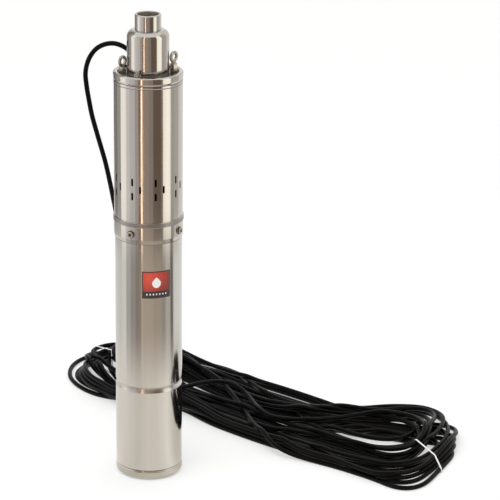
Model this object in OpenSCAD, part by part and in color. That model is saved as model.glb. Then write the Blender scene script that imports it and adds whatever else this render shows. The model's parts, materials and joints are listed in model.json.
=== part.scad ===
// Borehole submersible pump: a screw pump in a slotted sleeve, driven by an oil-filled motor below it.
// Millimetres, +Z up, origin at the centre of the foot. Azimuths run from -Y towards +X.

/* [Outlet head] */
// Minor diameter of the outlet's one-inch pipe thread
outlet_thread_d = 30.3; // [26:0.1:32]
// Outside diameter of the outlet neck
outlet_neck_d = 37.4; // [36:0.2:40]
// Height of the neck above the shoulder
outlet_neck_h = 21.7; // [16:0.1:30]
// Outside diameter of the head
head_d = 59.8; // [56:0.2:62]
// Height of the head's straight wall above its flange
head_wall_h = 54.8; // [40:0.2:70]
// Radius of the head's shoulder
shoulder_r = 10.5; // [6:0.1:11]
// Thickness of the head's wall
head_wall = 3; // [2:0.1:3.5]
// Diameter of the clamping flange under the cap
head_flange_d = 85; // [84:0.5:87]
// Thickness of the clamping flange
head_flange_t = 6; // [4:0.5:8]
// Thickness of the gasket under the head
gasket_t = 2; // [1:0.1:3]

/* [Top cap] */
// Widest diameter of the cap's rolled rim
cap_d = 99.4; // [98:0.1:102]
// Width of the rolled rim
cap_rim_w = 6.8; // [6:0.1:7]
// Height of the rim above the sleeve
cap_rim_h = 12; // [11.6:0.1:14]
// Height of the cap's floor above the sleeve
cap_floor_h = 7.2; // [6:0.1:7.6]
// Thickness of the cap's sheet
cap_sheet = 1.2; // [0.8:0.1:1.5]
// Depth of the cap's spigot inside the sleeve
cap_spigot_h = 7; // [4:0.5:12]

/* [Pump sleeve] */
// Outside diameter of the sleeve
sleeve_d = 98; // [97:0.1:99]
// Thickness of the sleeve's sheet
sleeve_wall = 1.2; // [0.8:0.1:1.4]
// Length of the sleeve
sleeve_len = 199.8; // [180:0.2:240]
// Width of an intake slot
slot_w = 3.2; // [2:0.1:4]
// Height of an intake slot
slot_h = 11.3; // [8:0.1:14]
// Groups of three slots around the sleeve
slot_groups = 9; // [6:1:9]
// Height of the middle row of slots above the sleeve's lower edge
slot_row_z = 49.2; // [44:0.2:54]
// Distance between the rows of slots
slot_row_step = 10.4; // [9:0.1:12]
// Azimuth of the first pair of slots
slot_az = -25.5; // [-40:0.5:40]
// Turn from a pair of slots to the single slot beside it
slot_turn = 14; // [12:0.5:18]

/* [Screw pump] */
// Diameter of the screw rotor's round section
screw_d = 18; // [15:0.2:19]
// Distance from the rotor's axis to the centre of its section
screw_ecc = 3.2; // [2.4:0.1:3.4]
// Pitch of the screw rotor
screw_pitch = 30; // [26:1:36]
// Gap between the rotor and the rubber stator
screw_gap = 0.5; // [0.4:0.05:0.8]
// Outside diameter of the stator tube
stator_tube_d = 60; // [56:0.5:61]
// Thickness of the stator tube
stator_tube_wall = 2.5; // [1.5:0.1:3]
// Length of the stator
stator_len = 123; // [105:1:128]
// Thickness of the coupling rod
rod_d = 7; // [6:0.2:8]

/* [Studs and eyes] */
// Diameter of the tie rods
stud_d = 6; // [5:0.5:6]
// Radius of the circle of tie rods
stud_ring_r = 36; // [35.5:0.1:36.5]
// Azimuth of the right lifting eye, with the left one opposite
eye_az = 92.4; // [85:0.2:100]
// Azimuth of the front stud nut, with another one opposite
nut_az = -22; // [-30:0.5:-15]
// Width of a stud nut across its flats
nut_af = 10; // [9:0.1:11]
// Height of a stud nut
nut_h = 7; // [5:0.1:8]
// Diameter of the wire of a lifting eye
eye_wire_d = 4.6; // [4.2:0.1:5]
// Outside diameter of a lifting eye
eye_d = 17; // [16:0.2:18.4]
// Rope hole of a lifting eye
eye_hole_d = 8.6; // [7.8:0.1:9.2]
// Height of the left eye's centre above the cap's floor
eye_left_rise = 17.4; // [17:0.1:21]
// Height of the right eye's centre above the cap's floor
eye_right_rise = 24; // [23.6:0.1:30]
// Turn of the eyes from the pump's front
eye_turn = 55; // [0:5:90]

/* [Joint collar] */
// Diameter of the collar's lip
lip_d = 101; // [100.4:0.2:104]
// Thickness of the collar's lip
lip_t = 7; // [5:0.1:9]
// Diameter of the collar's band
collar_d = 99.6; // [98.6:0.1:100]
// Height of the collar's band below the lip
collar_h = 24.7; // [23:0.1:32]
// Drop of a collar screw below the lip's top
collar_screw_drop = 17.7; // [14:0.1:20]
// Azimuth of the first collar screw
collar_screw_az = -27.7; // [-40:0.1:-10]
// Number of collar screws
collar_screws_n = 4; // [4:4:4]
// Thread diameter of a collar screw
collar_screw_d = 5; // [4:0.5:6]
// Head diameter of a collar screw
collar_head_d = 9.5; // [9:0.1:11]
// Head height of a collar screw
collar_head_h = 2.6; // [2:0.1:4]
// Diameter of a collar washer
collar_washer_d = 12; // [11.5:0.1:13]
// Thickness of a collar washer
collar_washer_t = 1; // [0.6:0.1:1.5]

/* [Motor] */
// Outside diameter of the motor casing
motor_d = 96.8; // [96.2:0.1:97.4]
// Thickness of the motor casing
motor_wall = 1.2; // [0.8:0.1:1.4]
// Length of the motor casing
motor_len = 374.5; // [360:0.1:440]
// Height of the rolled groove above the casing's lower edge
groove_z = 126.8; // [120:0.1:134]
// Width of the rolled groove
groove_w = 9.6; // [7:0.1:10]
// Depth of the rolled groove
groove_depth = 1.5; // [0.8:0.1:1.6]
// Gap between the winding's end turns and the brackets
winding_gap = 10.9; // [8:0.1:14]
// Bore of the laminated core
core_bore_d = 52; // [48:0.5:54]
// Air gap between the rotor and the core
air_gap = 0.5; // [0.3:0.05:1]
// Height of the winding's end turns
winding_h = 28; // [22:1:30]
// Number of slots in the core
core_slots = 24; // [12:12:24]
// Thickness of the motor shaft in the rotor
shaft_d = 22; // [20:0.5:23]
// Diameter of the shaft at the seal and the hub
shaft_end_d = 16; // [15:0.1:16.4]

/* [Bearings] */
// Bore of a ball bearing
bearing_bore = 17; // [16.6:0.1:17.4]
// Outside diameter of a ball bearing
bearing_od = 40; // [39.6:0.1:41]
// Width of a ball bearing
bearing_w = 12; // [11:0.1:12.4]
// Diameter of a ball
ball_d = 6.75; // [6.4:0.05:6.9]
// Number of balls in a bearing
balls_n = 8; // [6:1:8]

/* [Bottom cap] */
// Height of the bottom cap below the casing
foot_h = 15.7; // [14:0.1:20]
// Diameter of the foot
foot_d = 93.4; // [90:0.2:95]
// Diameter of the bottom cap's bead
bead_d = 97.8; // [97:0.1:98.2]
// Diameter of the capacitor
capacitor_d = 40; // [36:0.5:42]
// Length of the capacitor
capacitor_len = 76; // [60:1:80]

/* [Label] */
// Azimuth of the label's left edge
label_az = -9; // [-40:0.5:20]
// Width of the label along the casing
label_w = 42; // [30:0.5:50]
// Height of the label
label_h = 40.5; // [30:0.5:50]
// Drop of the label's upper edge below the casing's top
label_drop = 65.2; // [50:0.2:120]
// Thickness of the label
label_t = 0.25; // [0.15:0.05:0.4]

/* [Cable] */
// Diameter of the cable
cable_d = 7; // [6:0.1:7.4]
// Azimuth of the cable's grommet
cable_az = 210; // [206:0.5:216]
// Radius of the cable's place inside the sleeve
cable_ring_r = 36.3; // [36:0.1:36.6]
// Height of the hank on the floor
hank_h = 26; // [20:0.5:28]
// Width of the hank between its round ends
hank_w = 148; // [130:1:160]
// Width of the hank's ties
tie_w = 2.5; // [2:0.1:4]
// Thickness of the hank's ties
tie_t = 1.2; // [0.8:0.1:1.6]

/* [Fits] */
// Gap between pieces that are fitted together
fit = 0.1; // [0.05:0.01:0.15]
// Gap between a stud or cable and the hole that it passes
hole_gap = 0.2; // [0.15:0.05:0.3]
// Gap in the running fits of the bearings
run_gap = 0.08; // [0.05:0.01:0.1]
// Gap between the seal's two faces
seal_gap = 0.05; // [0.03:0.01:0.08]
// Gap in the sockets of the coupling rod
socket_gap = 0.4; // [0.3:0.05:0.5]

/* [Hidden] */
$fn = 96;

// Radii
outlet_r = outlet_thread_d / 2;
neck_r = outlet_neck_d / 2;
head_r = head_d / 2;
flange_r = head_flange_d / 2;
cap_r = cap_d / 2;
sleeve_r = sleeve_d / 2;
sleeve_in_r = sleeve_r - sleeve_wall;
motor_r = motor_d / 2;
motor_in_r = motor_r - motor_wall;
inner_r = motor_in_r - fit;
lip_r = lip_d / 2;
collar_r = collar_d / 2;
screw_r = screw_d / 2;
stator_r = stator_tube_d / 2;
rubber_r = stator_r - stator_tube_wall;
rod_r = rod_d / 2;
stud_r = stud_d / 2;
shaft_r = shaft_d / 2;
shaft_end_r = shaft_end_d / 2;
bearing_in_r = bearing_bore / 2;
bearing_out_r = bearing_od / 2;
ball_r = ball_d / 2;
ball_ring_r = (bearing_in_r + bearing_out_r) / 2;
core_in_r = core_bore_d / 2;
cable_r = cable_d / 2;
foot_r = foot_d / 2;
bead_r = bead_d / 2;
capacitor_r = capacitor_d / 2;

// Heights of the main joints, from the foot up
casing_bot_z = foot_h;
casing_top_z = casing_bot_z + motor_len;
lip_top_z = casing_top_z + lip_t;
sleeve_top_z = lip_top_z + sleeve_len;
floor_z = sleeve_top_z + cap_floor_h;
flange_top_z = floor_z - cap_sheet;
flange_bot_z = flange_top_z - head_flange_t;
stator_top_z = flange_bot_z - gasket_t;
stator_bot_z = stator_top_z - stator_len;
shoulder_z = flange_top_z + head_wall_h;
bend_r = min(shoulder_r, head_r - neck_r - fit);
neck_z = shoulder_z + bend_r;
ceiling_z = neck_z - head_wall;
outlet_z = neck_z + outlet_neck_h;

// Upper bracket
bracket_rise = 7;
bracket_drop = 46;
bracket_top_z = lip_top_z + bracket_rise;
bracket_bot_z = casing_top_z - bracket_drop;
bracket_plate_t = 18;
bracket_skirt_t = 4;
bracket_hub_r = bearing_out_r + 6;
bracket_plate_z = bracket_top_z - bracket_plate_t;
circlip_t = 1.2;
circlip_r = bearing_out_r + 1;
upper_bearing_z = bracket_bot_z + 2;
upper_bearing_top_z = upper_bearing_z + bearing_w;

// Mechanical seal, from the seat down
seat_h = 6;
seat_r = shaft_end_r + 6.5;
seat_top_z = bracket_top_z - 6;
seat_bot_z = seat_top_z - seat_h;
face_h = 5;
face_r = shaft_end_r + 5;
face_bot_z = seat_bot_z - seal_gap - face_h;
bellows_r = shaft_end_r + 3;
bellows_flange_h = 2.5;
bellows_flange_r = shaft_end_r + 6;
bellows_h = 17;
bellows_bot_z = face_bot_z - bellows_h;
spring_wire_r = 0.9;
spring_turns = 4;
spring_ring_r = bellows_r + 1.7;
seal_room_r = bellows_flange_r + 3;

// Drive line
guard_t = 2.6;
guard_z = bracket_top_z + 0.4;
hub_r = 12;
hub_bot_z = guard_z + guard_t;
hub_h = 22;
ball_end_r = shaft_end_r - socket_gap;
shaft_top_z = hub_bot_z + 9;
rod_low_z = shaft_top_z + socket_gap + ball_end_r;
screw_start_z = stator_bot_z - 4;
screw_end_z = stator_top_z + 1;
rotor_head_h = 14;
rotor_head_r = 10;
rod_top_r = 6;
rod_top_z = screw_start_z - rotor_head_h / 2;
screw_sides = 20;
screw_steps = 14;

// Inlet cage
cage_ring_t = 4;
cage_ring_in_r = 26;
cage_ring_out_r = 44;
cage_post_r = stud_r + 3.2;
cage_plate_t = 5;
cage_lip_h = 3;
cage_plate_r = sleeve_in_r - 0.5;
cage_mouth_r = 2 * screw_ecc + screw_r + 2.6;

// Studs, nuts and eyes
stud_bot_z = bracket_plate_z + 2;
stud_azs = [eye_az, eye_az + 180, nut_az, nut_az + 180];
nut_top_z = floor_z + nut_h;
stud_end = 2.8;
eye_bore_h = 3.4;
lock_nut_h = 6;
eye_left_z = floor_z + eye_left_rise;
eye_right_z = floor_z + eye_right_rise;
eye_left_base_z = nut_top_z + 0.2;
lock_nut_z = nut_top_z + 0.6;
eye_right_base_z = lock_nut_z + lock_nut_h;
eye_base_r = 4.6;
eye_neck_r = 2.4;

// Motor
groove_mid_z = casing_bot_z + groove_z;
roll_bot_z = groove_mid_z - groove_w / 2;
roll_wall_h = 0.2 * groove_w;
roll_slope_h = groove_w - roll_wall_h;
roll_hollow = 1.5;
lower_bracket_rise = 10;
lower_bracket_drop = 12;
lower_bracket_top_z = groove_mid_z + lower_bracket_rise;
lower_bracket_bot_z = groove_mid_z - lower_bracket_drop;
lower_bracket_t = 12;
lower_hub_r = bearing_out_r + 6;
lower_bearing_z = lower_bracket_top_z - 2 - bearing_w;
shaft_bot_z = lower_bearing_z - 1.5;
core_top_z = bracket_bot_z - winding_gap - winding_h;
core_bot_z = lower_bracket_top_z + winding_gap + winding_h;
core_slot_in_r = core_in_r + 4;
core_slot_len = 9;
core_slot_w = 4.2;
winding_in_r = core_in_r + 3;
winding_out_r = core_slot_in_r + core_slot_len + 2.5;
winding_round = 5;
end_ring_h = 9;
end_ring_r = core_in_r - 3;
wire_r = 1.2;
o_ring_d = 2;
o_ring_drop = 30;
o_ring_room = 0.5;

// Bottom chamber
cap_base_t = 5;
cap_hollow_z = 3;
cap_ledge_h = 4;
base_spigot_h = 18;
cap_ledge_z = foot_h + cap_ledge_h;
cap_spigot_z = foot_h + base_spigot_h;
lower_o_ring_rise = 14;
cap_room_r = inner_r - 9;
cap_ring_r = inner_r - 3;
port_r = 3;
diaphragm_t = 2.5;
plate_t = 3;
plate_z = cap_ledge_z + diaphragm_t;
plate_top_z = plate_z + plate_t;
plate_ring_t = 1.2;
socket_h = 12;
socket_wall = 2.5;
plate_holes = 6;
plate_hole_r = 4;
terminal_h = 6;
terminal_r = 2;
terminal_ring_r = 8;
lead_ring_r = winding_in_r + 5;
lead_bend_z = lower_bracket_bot_z - 6;

// Cable and its hank
grommet_flange_r = cable_r + 2;
grommet_flange_t = 2;
grommet_body_r = cable_r + 1.4;
grommet_nose_h = 4;
grommet_tail_h = 16;
grommet_tail_z = floor_z - grommet_tail_h;
gland_r = 8;
gland_h = 8;
gland_stem_r = 6;
lead_ring_sides = 10;
lead_steps = 2;
sweep_up = [0.3, -0.9, 0.3];
lead_start = concat(cable_ring_r * [sin(cable_az), -cos(cable_az)], [0]);
// Route of the free cable, from the grommet over the rim and down behind the pump to the hank
lead_route = concat(
    [for (rise = [-grommet_tail_h, -9, -1]) lead_start + [0, 0, floor_z + rise]],
    [
        [-20, 33, 614], [-26, 34, 625], [-36, 35, 633], [-49, 37, 637], [-63, 39, 635],
        [-76, 41, 627], [-86, 43, 612], [-91, 46, 592], [-90, 49, 572], [-87, 53, 549],
        [-83, 58, 524], [-77, 63, 498], [-71, 69, 473], [-65, 75, 447], [-59, 83, 413],
        [-53, 92, 375], [-46, 103, 330], [-39, 116, 280], [-32, 131, 230], [-25, 148, 180],
        [-18, 166, 132], [-10, 184, 90], [0, 200, 58], [13, 215, 38], [30, 230, 31],
        [50, 246, 30], [72, 259, 30], [96, 266, 30], [118, 262, 29], [136, 248, 24]
    ]
);
hank_left = [-45, 345];
hank_left_r = 95;
hank_right = [345, 42];
hank_right_r = 130;
tie_spots = [[-100, 396, -30, 76], [412, -2, 26, 88]];

// Points of an arc about a centre, from one angle to another
function arc(c, r, a0, a1, n = 8) =
    [for (i = [0:n]) let (a = a0 + (a1 - a0) * i / n) c + r * [cos(a), sin(a)]];

// Points of an upright ellipse's arc
function oval(c, rx, ry, a0, a1, n = 16) =
    [for (i = [0:n]) let (a = a0 + (a1 - a0) * i / n) c + [rx * cos(a), ry * sin(a)]];

// Outline of a rectangle with round corners
function soft_box(x0, y0, x1, y1, r) = concat(
    arc([x1 - r, y1 - r], r, 0, 90),
    arc([x0 + r, y1 - r], r, 90, 180),
    arc([x0 + r, y0 + r], r, 180, 270),
    arc([x1 - r, y0 + r], r, 270, 360)
);

function unit(v) = v / norm(v);

function heading(p, i) = unit(p[min(i + 1, len(p) - 1)] - p[max(i - 1, 0)]);

// A point of the smooth curve through four points, between the middle two
function between(a, b, c, d, t) =
    0.5 * (2 * b + (c - a) * t + (2 * a - 5 * b + 4 * c - d) * t * t + (3 * b - a - 3 * c + d) * t * t * t);

// The smooth curve through a route's points
function smooth(p, n) = concat(
    [
        for (i = [0:len(p) - 2], j = [0:n - 1])
            between(p[max(i - 1, 0)], p[i], p[i + 1], p[min(i + 2, len(p) - 1)], j / n)
    ],
    [p[len(p) - 1]]
);

// A ring of points square to the path
function ring_at(p, i, r, n) =
    let (t = heading(p, i), u = unit(cross(sweep_up, t)), v = cross(t, u))
    [for (k = [0:n - 1]) p[i] + r * (cos(360 * k / n) * u + sin(360 * k / n) * v)];

// A round tube swept along a path
module tube_along(p, r, n) {
    points = [for (i = [0:len(p) - 1]) each ring_at(p, i, r, n)];
    last = (len(p) - 1) * n;
    sides = [
        for (i = [0:len(p) - 2], k = [0:n - 1])
            let (a = i * n + k, b = i * n + (k + 1) % n)
            each [[a + n, b + n, b], [a + n, b, a]]
    ];
    ends = [[for (k = [0:n - 1]) k], [for (k = [n - 1:-1:0]) last + k]];
    polyhedron(points, concat(sides, ends));
}

// Places its children at an azimuth on a circle
module at_az(az, r, z = 0) {
    rotate([0, 0, az]) translate([0, -r, z]) children();
}

module disc(r, z0, z1) {
    translate([0, 0, z0]) cylinder(r = r, h = z1 - z0);
}

module ring(r_in, r_out, z0, z1) {
    rotate_extrude() translate([r_in, z0]) square([r_out - r_in, z1 - z0]);
}

module stud_holes(z0, z1) {
    for (az = stud_azs) at_az(az, stud_ring_r) disc(stud_r + hole_gap, z0, z1);
}

module hex_nut(z, h) {
    difference() {
        translate([0, 0, z]) cylinder(d = nut_af / cos(30), h = h, $fn = 6);
        disc(stud_r + fit / 2, z - 1, z + h + 1);
    }
}

// A radial hole or shank at each collar screw
module at_collar_screws() {
    step = 360 / collar_screws_n;
    for (i = [0:collar_screws_n - 1])
        at_az(collar_screw_az + i * step, 0, lip_top_z - collar_screw_drop) rotate([90, 0, 0]) children();
}

// Drawn head: a straight wall and a round shoulder, open at the top for the socket
module discharge_head() {
    bend_c = [head_r - bend_r, shoulder_z];
    mouth_r = neck_r + fit / 2;
    outline = concat(
        [[mouth_r, ceiling_z], [mouth_r, neck_z]],
        arc(bend_c, bend_r, 90, 0, 12),
        [[head_r, flange_top_z], [head_r - head_wall, flange_top_z]],
        arc(bend_c, bend_r - head_wall, 0, 90, 10)
    );
    color("silver") rotate_extrude() polygon(outline);
}

// Threaded socket welded into the head's mouth
module outlet_socket() {
    edge = 0.8;
    outline = [
        [outlet_r, ceiling_z], [outlet_r, outlet_z - edge], [outlet_r + edge, outlet_z],
        [neck_r - edge, outlet_z], [neck_r, outlet_z - edge], [neck_r, ceiling_z]
    ];
    color("silver") rotate_extrude() polygon(outline);
}

// Clamping flange under the head
module head_flange() {
    color("silver") difference() {
        ring(head_r - head_wall, flange_r, flange_bot_z, flange_top_z);
        stud_holes(flange_bot_z - 1, flange_top_z + 1);
        at_az(cable_az, cable_ring_r) disc(grommet_body_r + fit, flange_bot_z - 1, flange_top_z + 1);
    }
}

module head_gasket() {
    color("dimgray") ring(head_r - head_wall, stator_r, stator_top_z, flange_bot_z);
}

// Pressed cap: a spigot in the sleeve, a rolled rim and a floor around the head
module top_cap() {
    half_w = cap_rim_w / 2;
    rim_z = floor_z + 1.8;
    rim_c = [cap_r - half_w, rim_z];
    rim_half_h = sleeve_top_z + cap_rim_h - rim_z;
    spigot_r = sleeve_in_r - fit;
    foot_edge_r = sleeve_r - 0.4;
    hole_r = head_r + 0.3;
    recess_r = cap_r - cap_rim_w;
    outline = concat(
        [[spigot_r, sleeve_top_z - cap_spigot_h], [spigot_r, sleeve_top_z], [foot_edge_r, sleeve_top_z]],
        [[cap_r - 0.2, sleeve_top_z + 3]],
        oval(rim_c, half_w, rim_half_h, 0, 180),
        [[recess_r, floor_z + 0.7], [recess_r - 0.7, floor_z], [hole_r, floor_z], [hole_r, flange_top_z]],
        [[recess_r + cap_sheet, flange_top_z]],
        oval(rim_c, half_w - cap_sheet, rim_half_h - cap_sheet, 180, 0),
        [[cap_r - 0.2 - cap_sheet, sleeve_top_z + 3.4], [spigot_r - cap_sheet, sleeve_top_z + 1.6]],
        [[spigot_r - cap_sheet, sleeve_top_z - cap_spigot_h]]
    );
    color("silver") difference() {
        rotate_extrude() polygon(outline);
        stud_holes(flange_top_z - 1, floor_z + 1);
        at_az(cable_az, cable_ring_r) disc(grommet_body_r + fit, flange_top_z - 1, floor_z + 1);
    }
}

// One upright slot with round ends, cut through the sleeve
module intake_slot(az, z) {
    half = (slot_h - slot_w) / 2;
    reach = sleeve_wall + 2;
    at_az(az, sleeve_in_r - 1, z) {
        for (end = [-half, half]) translate([0, 0, end]) rotate([90, 0, 0]) cylinder(d = slot_w, h = reach);
        translate([-slot_w / 2, -reach, -half]) cube([slot_w, reach, 2 * half]);
    }
}

// Sleeve with a beaded top edge and staggered intake slots
module pump_sleeve() {
    bead = 0.25;
    outline = [
        [sleeve_in_r, lip_top_z], [sleeve_r, lip_top_z], [sleeve_r, sleeve_top_z - 4.4],
        [sleeve_r - bead, sleeve_top_z - 4], [sleeve_r + bead, sleeve_top_z - 3],
        [sleeve_r + bead, sleeve_top_z - 1.2], [sleeve_r - bead, sleeve_top_z], [sleeve_in_r, sleeve_top_z]
    ];
    row_z = lip_top_z + slot_row_z;
    color("silver") difference() {
        rotate_extrude() polygon(outline);
        for (i = [0:slot_groups - 1]) {
            az = slot_az + 360 * i / slot_groups;
            intake_slot(az, row_z + slot_row_step);
            intake_slot(az, row_z - slot_row_step);
            intake_slot(az + slot_turn, row_z);
        }
    }
}

module stator_tube() {
    color("lightsteelblue") ring(rubber_r, stator_r, stator_bot_z, stator_top_z);
}

// Rubber with a cavity of two round ends, turning half as fast as the rotor's screw
module rubber_stator() {
    low_z = stator_bot_z - 1;
    cut_h = stator_len + 2;
    steps = ceil(screw_steps * cut_h / screw_pitch);
    color([0.12, 0.12, 0.12]) difference() {
        disc(rubber_r, stator_bot_z, stator_top_z);
        translate([0, 0, low_z]) rotate([0, 0, 180 * (low_z - screw_start_z) / screw_pitch])
            linear_extrude(height = cut_h, twist = -180 * cut_h / screw_pitch, slices = steps, $fn = screw_sides)
                hull() for (side = [-1, 1]) translate([side * 2 * screw_ecc, 0]) circle(r = screw_r + screw_gap);
    }
}

// Single-start screw with the socket of the coupling rod in its head
module helical_rotor() {
    h = screw_end_z - screw_start_z;
    steps = ceil(screw_steps * h / screw_pitch);
    head_z = screw_start_z - rotor_head_h;
    socket_r = rod_top_r + socket_gap;
    color("gainsboro") translate([screw_ecc, 0, 0]) {
        translate([0, 0, screw_start_z])
            linear_extrude(height = h, twist = -360 * h / screw_pitch, slices = steps, $fn = screw_sides)
                translate([screw_ecc, 0]) circle(r = screw_r);
        difference() {
            disc(rotor_head_r, head_z, screw_start_z);
            disc(socket_r, head_z - 1, rod_top_z + socket_r);
        }
    }
}

// Rod between the hub's socket on the axis and the rotor's socket beside it
module coupling_rod() {
    lean = atan2(screw_ecc, rod_top_z - rod_low_z);
    reach = norm([screw_ecc, rod_top_z - rod_low_z]);
    color("slategray") {
        translate([0, 0, rod_low_z]) sphere(r = ball_end_r);
        translate([0, 0, rod_low_z]) rotate([0, lean, 0]) cylinder(r = rod_r, h = reach);
        translate([screw_ecc, 0, rod_top_z]) sphere(r = rod_top_r);
    }
}

module drive_hub() {
    color("slategray") ring(shaft_end_r, hub_r, hub_bot_z, hub_bot_z + hub_h);
}

// Cage between the motor's bracket and the stator, open at the intake slots
module inlet_cage() {
    plate_z = stator_bot_z - cage_plate_t;
    lip_z = stator_bot_z + cage_lip_h;
    color("darkgray") difference() {
        union() {
            ring(cage_ring_in_r, cage_ring_out_r, bracket_top_z, bracket_top_z + cage_ring_t);
            for (az = stud_azs) at_az(az, stud_ring_r) disc(cage_post_r, bracket_top_z, plate_z + 1);
            ring(cage_mouth_r, cage_plate_r, plate_z, lip_z);
        }
        disc(stator_r + fit, stator_bot_z, lip_z + 1);
        stud_holes(bracket_top_z - 1, lip_z + 1);
        at_az(cable_az, cable_ring_r) disc(cable_r + 0.8, plate_z - 1, lip_z + 1);
        at_az(cable_az, cable_ring_r) disc(gland_r + 0.6, bracket_top_z - 1, bracket_top_z + cage_ring_t + 1);
    }
}

// Rods that clamp the head, the stator and the cage to the motor
module tie_rods() {
    tops = [
        eye_right_base_z + eye_bore_h - fit, eye_left_base_z + eye_bore_h - fit,
        nut_top_z + stud_end, nut_top_z + stud_end
    ];
    color("silver") for (i = [0:3]) at_az(stud_azs[i], stud_ring_r) disc(stud_r, stud_bot_z, tops[i]);
}

module stud_nuts() {
    color("silver") for (az = stud_azs) at_az(az, stud_ring_r) hex_nut(floor_z, nut_h);
}

// Lifting eye: a round ring on a tapered neck that screws onto its stud
module lifting_eye(base_z, eye_z) {
    wire_ring_r = (eye_d - eye_wire_d) / 2;
    neck_top_z = eye_z - wire_ring_r;
    difference() {
        union() {
            translate([0, 0, eye_z]) rotate([90, 0, eye_turn - eye_az])
                rotate_extrude() translate([wire_ring_r, 0]) circle(d = eye_wire_d);
            translate([0, 0, base_z]) cylinder(r1 = eye_base_r, r2 = eye_neck_r, h = neck_top_z - base_z);
        }
        translate([0, 0, eye_z]) rotate([90, 0, eye_turn - eye_az])
            cylinder(d = eye_hole_d, h = eye_d, center = true);
        disc(stud_r + fit / 2, base_z - 1, base_z + eye_bore_h);
    }
}

module eye_left() {
    color("silver") at_az(eye_az + 180, stud_ring_r) lifting_eye(eye_left_base_z, eye_left_z);
}

module eye_right() {
    color("silver") at_az(eye_az, stud_ring_r) lifting_eye(eye_right_base_z, eye_right_z);
}

module eye_lock_nut() {
    color("silver") at_az(eye_az, stud_ring_r) hex_nut(lock_nut_z, lock_nut_h);
}

// Rubber grommet with a tapered nose, through the cap's floor and the flange
module cable_grommet() {
    flange_z = floor_z + grommet_flange_t;
    outline = [
        [cable_r, grommet_tail_z], [grommet_body_r - 0.6, grommet_tail_z], [grommet_body_r, flange_bot_z],
        [grommet_body_r, floor_z], [grommet_flange_r, floor_z], [grommet_flange_r, flange_z],
        [grommet_body_r, flange_z + 0.4], [cable_r + 0.6, flange_z + grommet_nose_h],
        [cable_r, flange_z + grommet_nose_h]
    ];
    color([0.1, 0.1, 0.1]) at_az(cable_az, cable_ring_r) rotate_extrude() polygon(outline);
}

module inner_cable() {
    color([0.1, 0.1, 0.1])
        at_az(cable_az, cable_ring_r) disc(cable_r, bracket_plate_z + 2, grommet_tail_z);
}

// Gland that seals the cable into the motor's bracket
module lead_gland() {
    color("goldenrod") at_az(cable_az, cable_ring_r) {
        ring(cable_r + fit, gland_r, bracket_top_z, bracket_top_z + gland_h);
        ring(cable_r + fit, gland_stem_r, bracket_plate_z + 4, bracket_top_z);
    }
}

// Three leads from the cable down to the winding
module motor_leads() {
    step = 2 * wire_r + 0.4;
    color("firebrick") for (i = [-1:1])
        at_az(cable_az, cable_ring_r)
            translate([i * step, 0, 0]) disc(wire_r, core_top_z + winding_h + 0.3, bracket_plate_z + 2);
}

// Bracket at the top of the motor: plate, skirt and hub for the bearing and the seal
module upper_bracket() {
    skirt_bot_z = bracket_bot_z + 4;
    groove_top_z = casing_top_z - o_ring_drop;
    groove_bot_z = groove_top_z - o_ring_d - 2 * o_ring_room;
    groove_r = inner_r - o_ring_d;
    seat_hole_r = shaft_end_r + 2;
    bore_r = bearing_out_r + fit / 2;
    skirt_in_r = inner_r - bracket_skirt_t;
    outline = [
        [seat_hole_r, bracket_top_z], [inner_r, bracket_top_z],
        [inner_r, groove_top_z], [groove_r, groove_top_z], [groove_r, groove_bot_z], [inner_r, groove_bot_z],
        [inner_r, skirt_bot_z], [skirt_in_r, skirt_bot_z], [skirt_in_r, bracket_plate_z],
        [bracket_hub_r, bracket_plate_z], [bracket_hub_r, bracket_bot_z], [bore_r, bracket_bot_z],
        [bore_r, upper_bearing_z - circlip_t - 0.2], [circlip_r + fit, upper_bearing_z - circlip_t - 0.2],
        [circlip_r + fit, upper_bearing_z], [bore_r, upper_bearing_z],
        [bore_r, upper_bearing_top_z], [seal_room_r, upper_bearing_top_z], [seal_room_r, seat_bot_z],
        [seat_r + fit / 2, seat_bot_z], [seat_r + fit / 2, seat_top_z], [seat_hole_r, seat_top_z]
    ];
    color("lightgray") difference() {
        rotate_extrude() polygon(outline);
        for (az = stud_azs) at_az(az, stud_ring_r) disc(stud_r + fit / 2, stud_bot_z, bracket_top_z + 1);
        at_az(cable_az, cable_ring_r) disc(gland_stem_r + fit, bracket_plate_z - 1, bracket_top_z + 1);
        at_collar_screws() translate([0, 0, skirt_in_r - 2])
            cylinder(d = collar_screw_d + fit, h = bracket_skirt_t + 4);
    }
}

module bearing_circlip() {
    color("dimgray") ring(bearing_out_r - 2.5, circlip_r, upper_bearing_z - circlip_t - fit, upper_bearing_z - fit);
}

module sand_guard() {
    color([0.15, 0.15, 0.15]) ring(shaft_end_r, shaft_end_r + 6, guard_z, hub_bot_z);
}

module seal_seat() {
    color("white") ring(shaft_end_r + 2.2, seat_r, seat_bot_z, seat_top_z);
}

module seal_face() {
    color([0.2, 0.2, 0.22]) ring(shaft_end_r, face_r, face_bot_z, face_bot_z + face_h);
}

module seal_bellows() {
    flange_z = bellows_bot_z + bellows_flange_h;
    color([0.1, 0.1, 0.1]) {
        ring(shaft_end_r, bellows_flange_r, bellows_bot_z, flange_z);
        ring(shaft_end_r, bellows_r, flange_z, face_bot_z);
    }
}

// Coil spring between the bellows' flange and the seal's face
module seal_spring() {
    low_z = bellows_bot_z + bellows_flange_h + spring_wire_r + seal_gap;
    rise = face_bot_z - spring_wire_r - seal_gap - low_z;
    steps = 14 * spring_turns;
    path = [
        for (i = [0:steps])
            let (a = 360 * spring_turns * i / steps)
            [spring_ring_r * cos(a), spring_ring_r * sin(a), low_z + rise * i / steps]
    ];
    color("silver") tube_along(path, spring_wire_r, 8);
}

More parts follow.
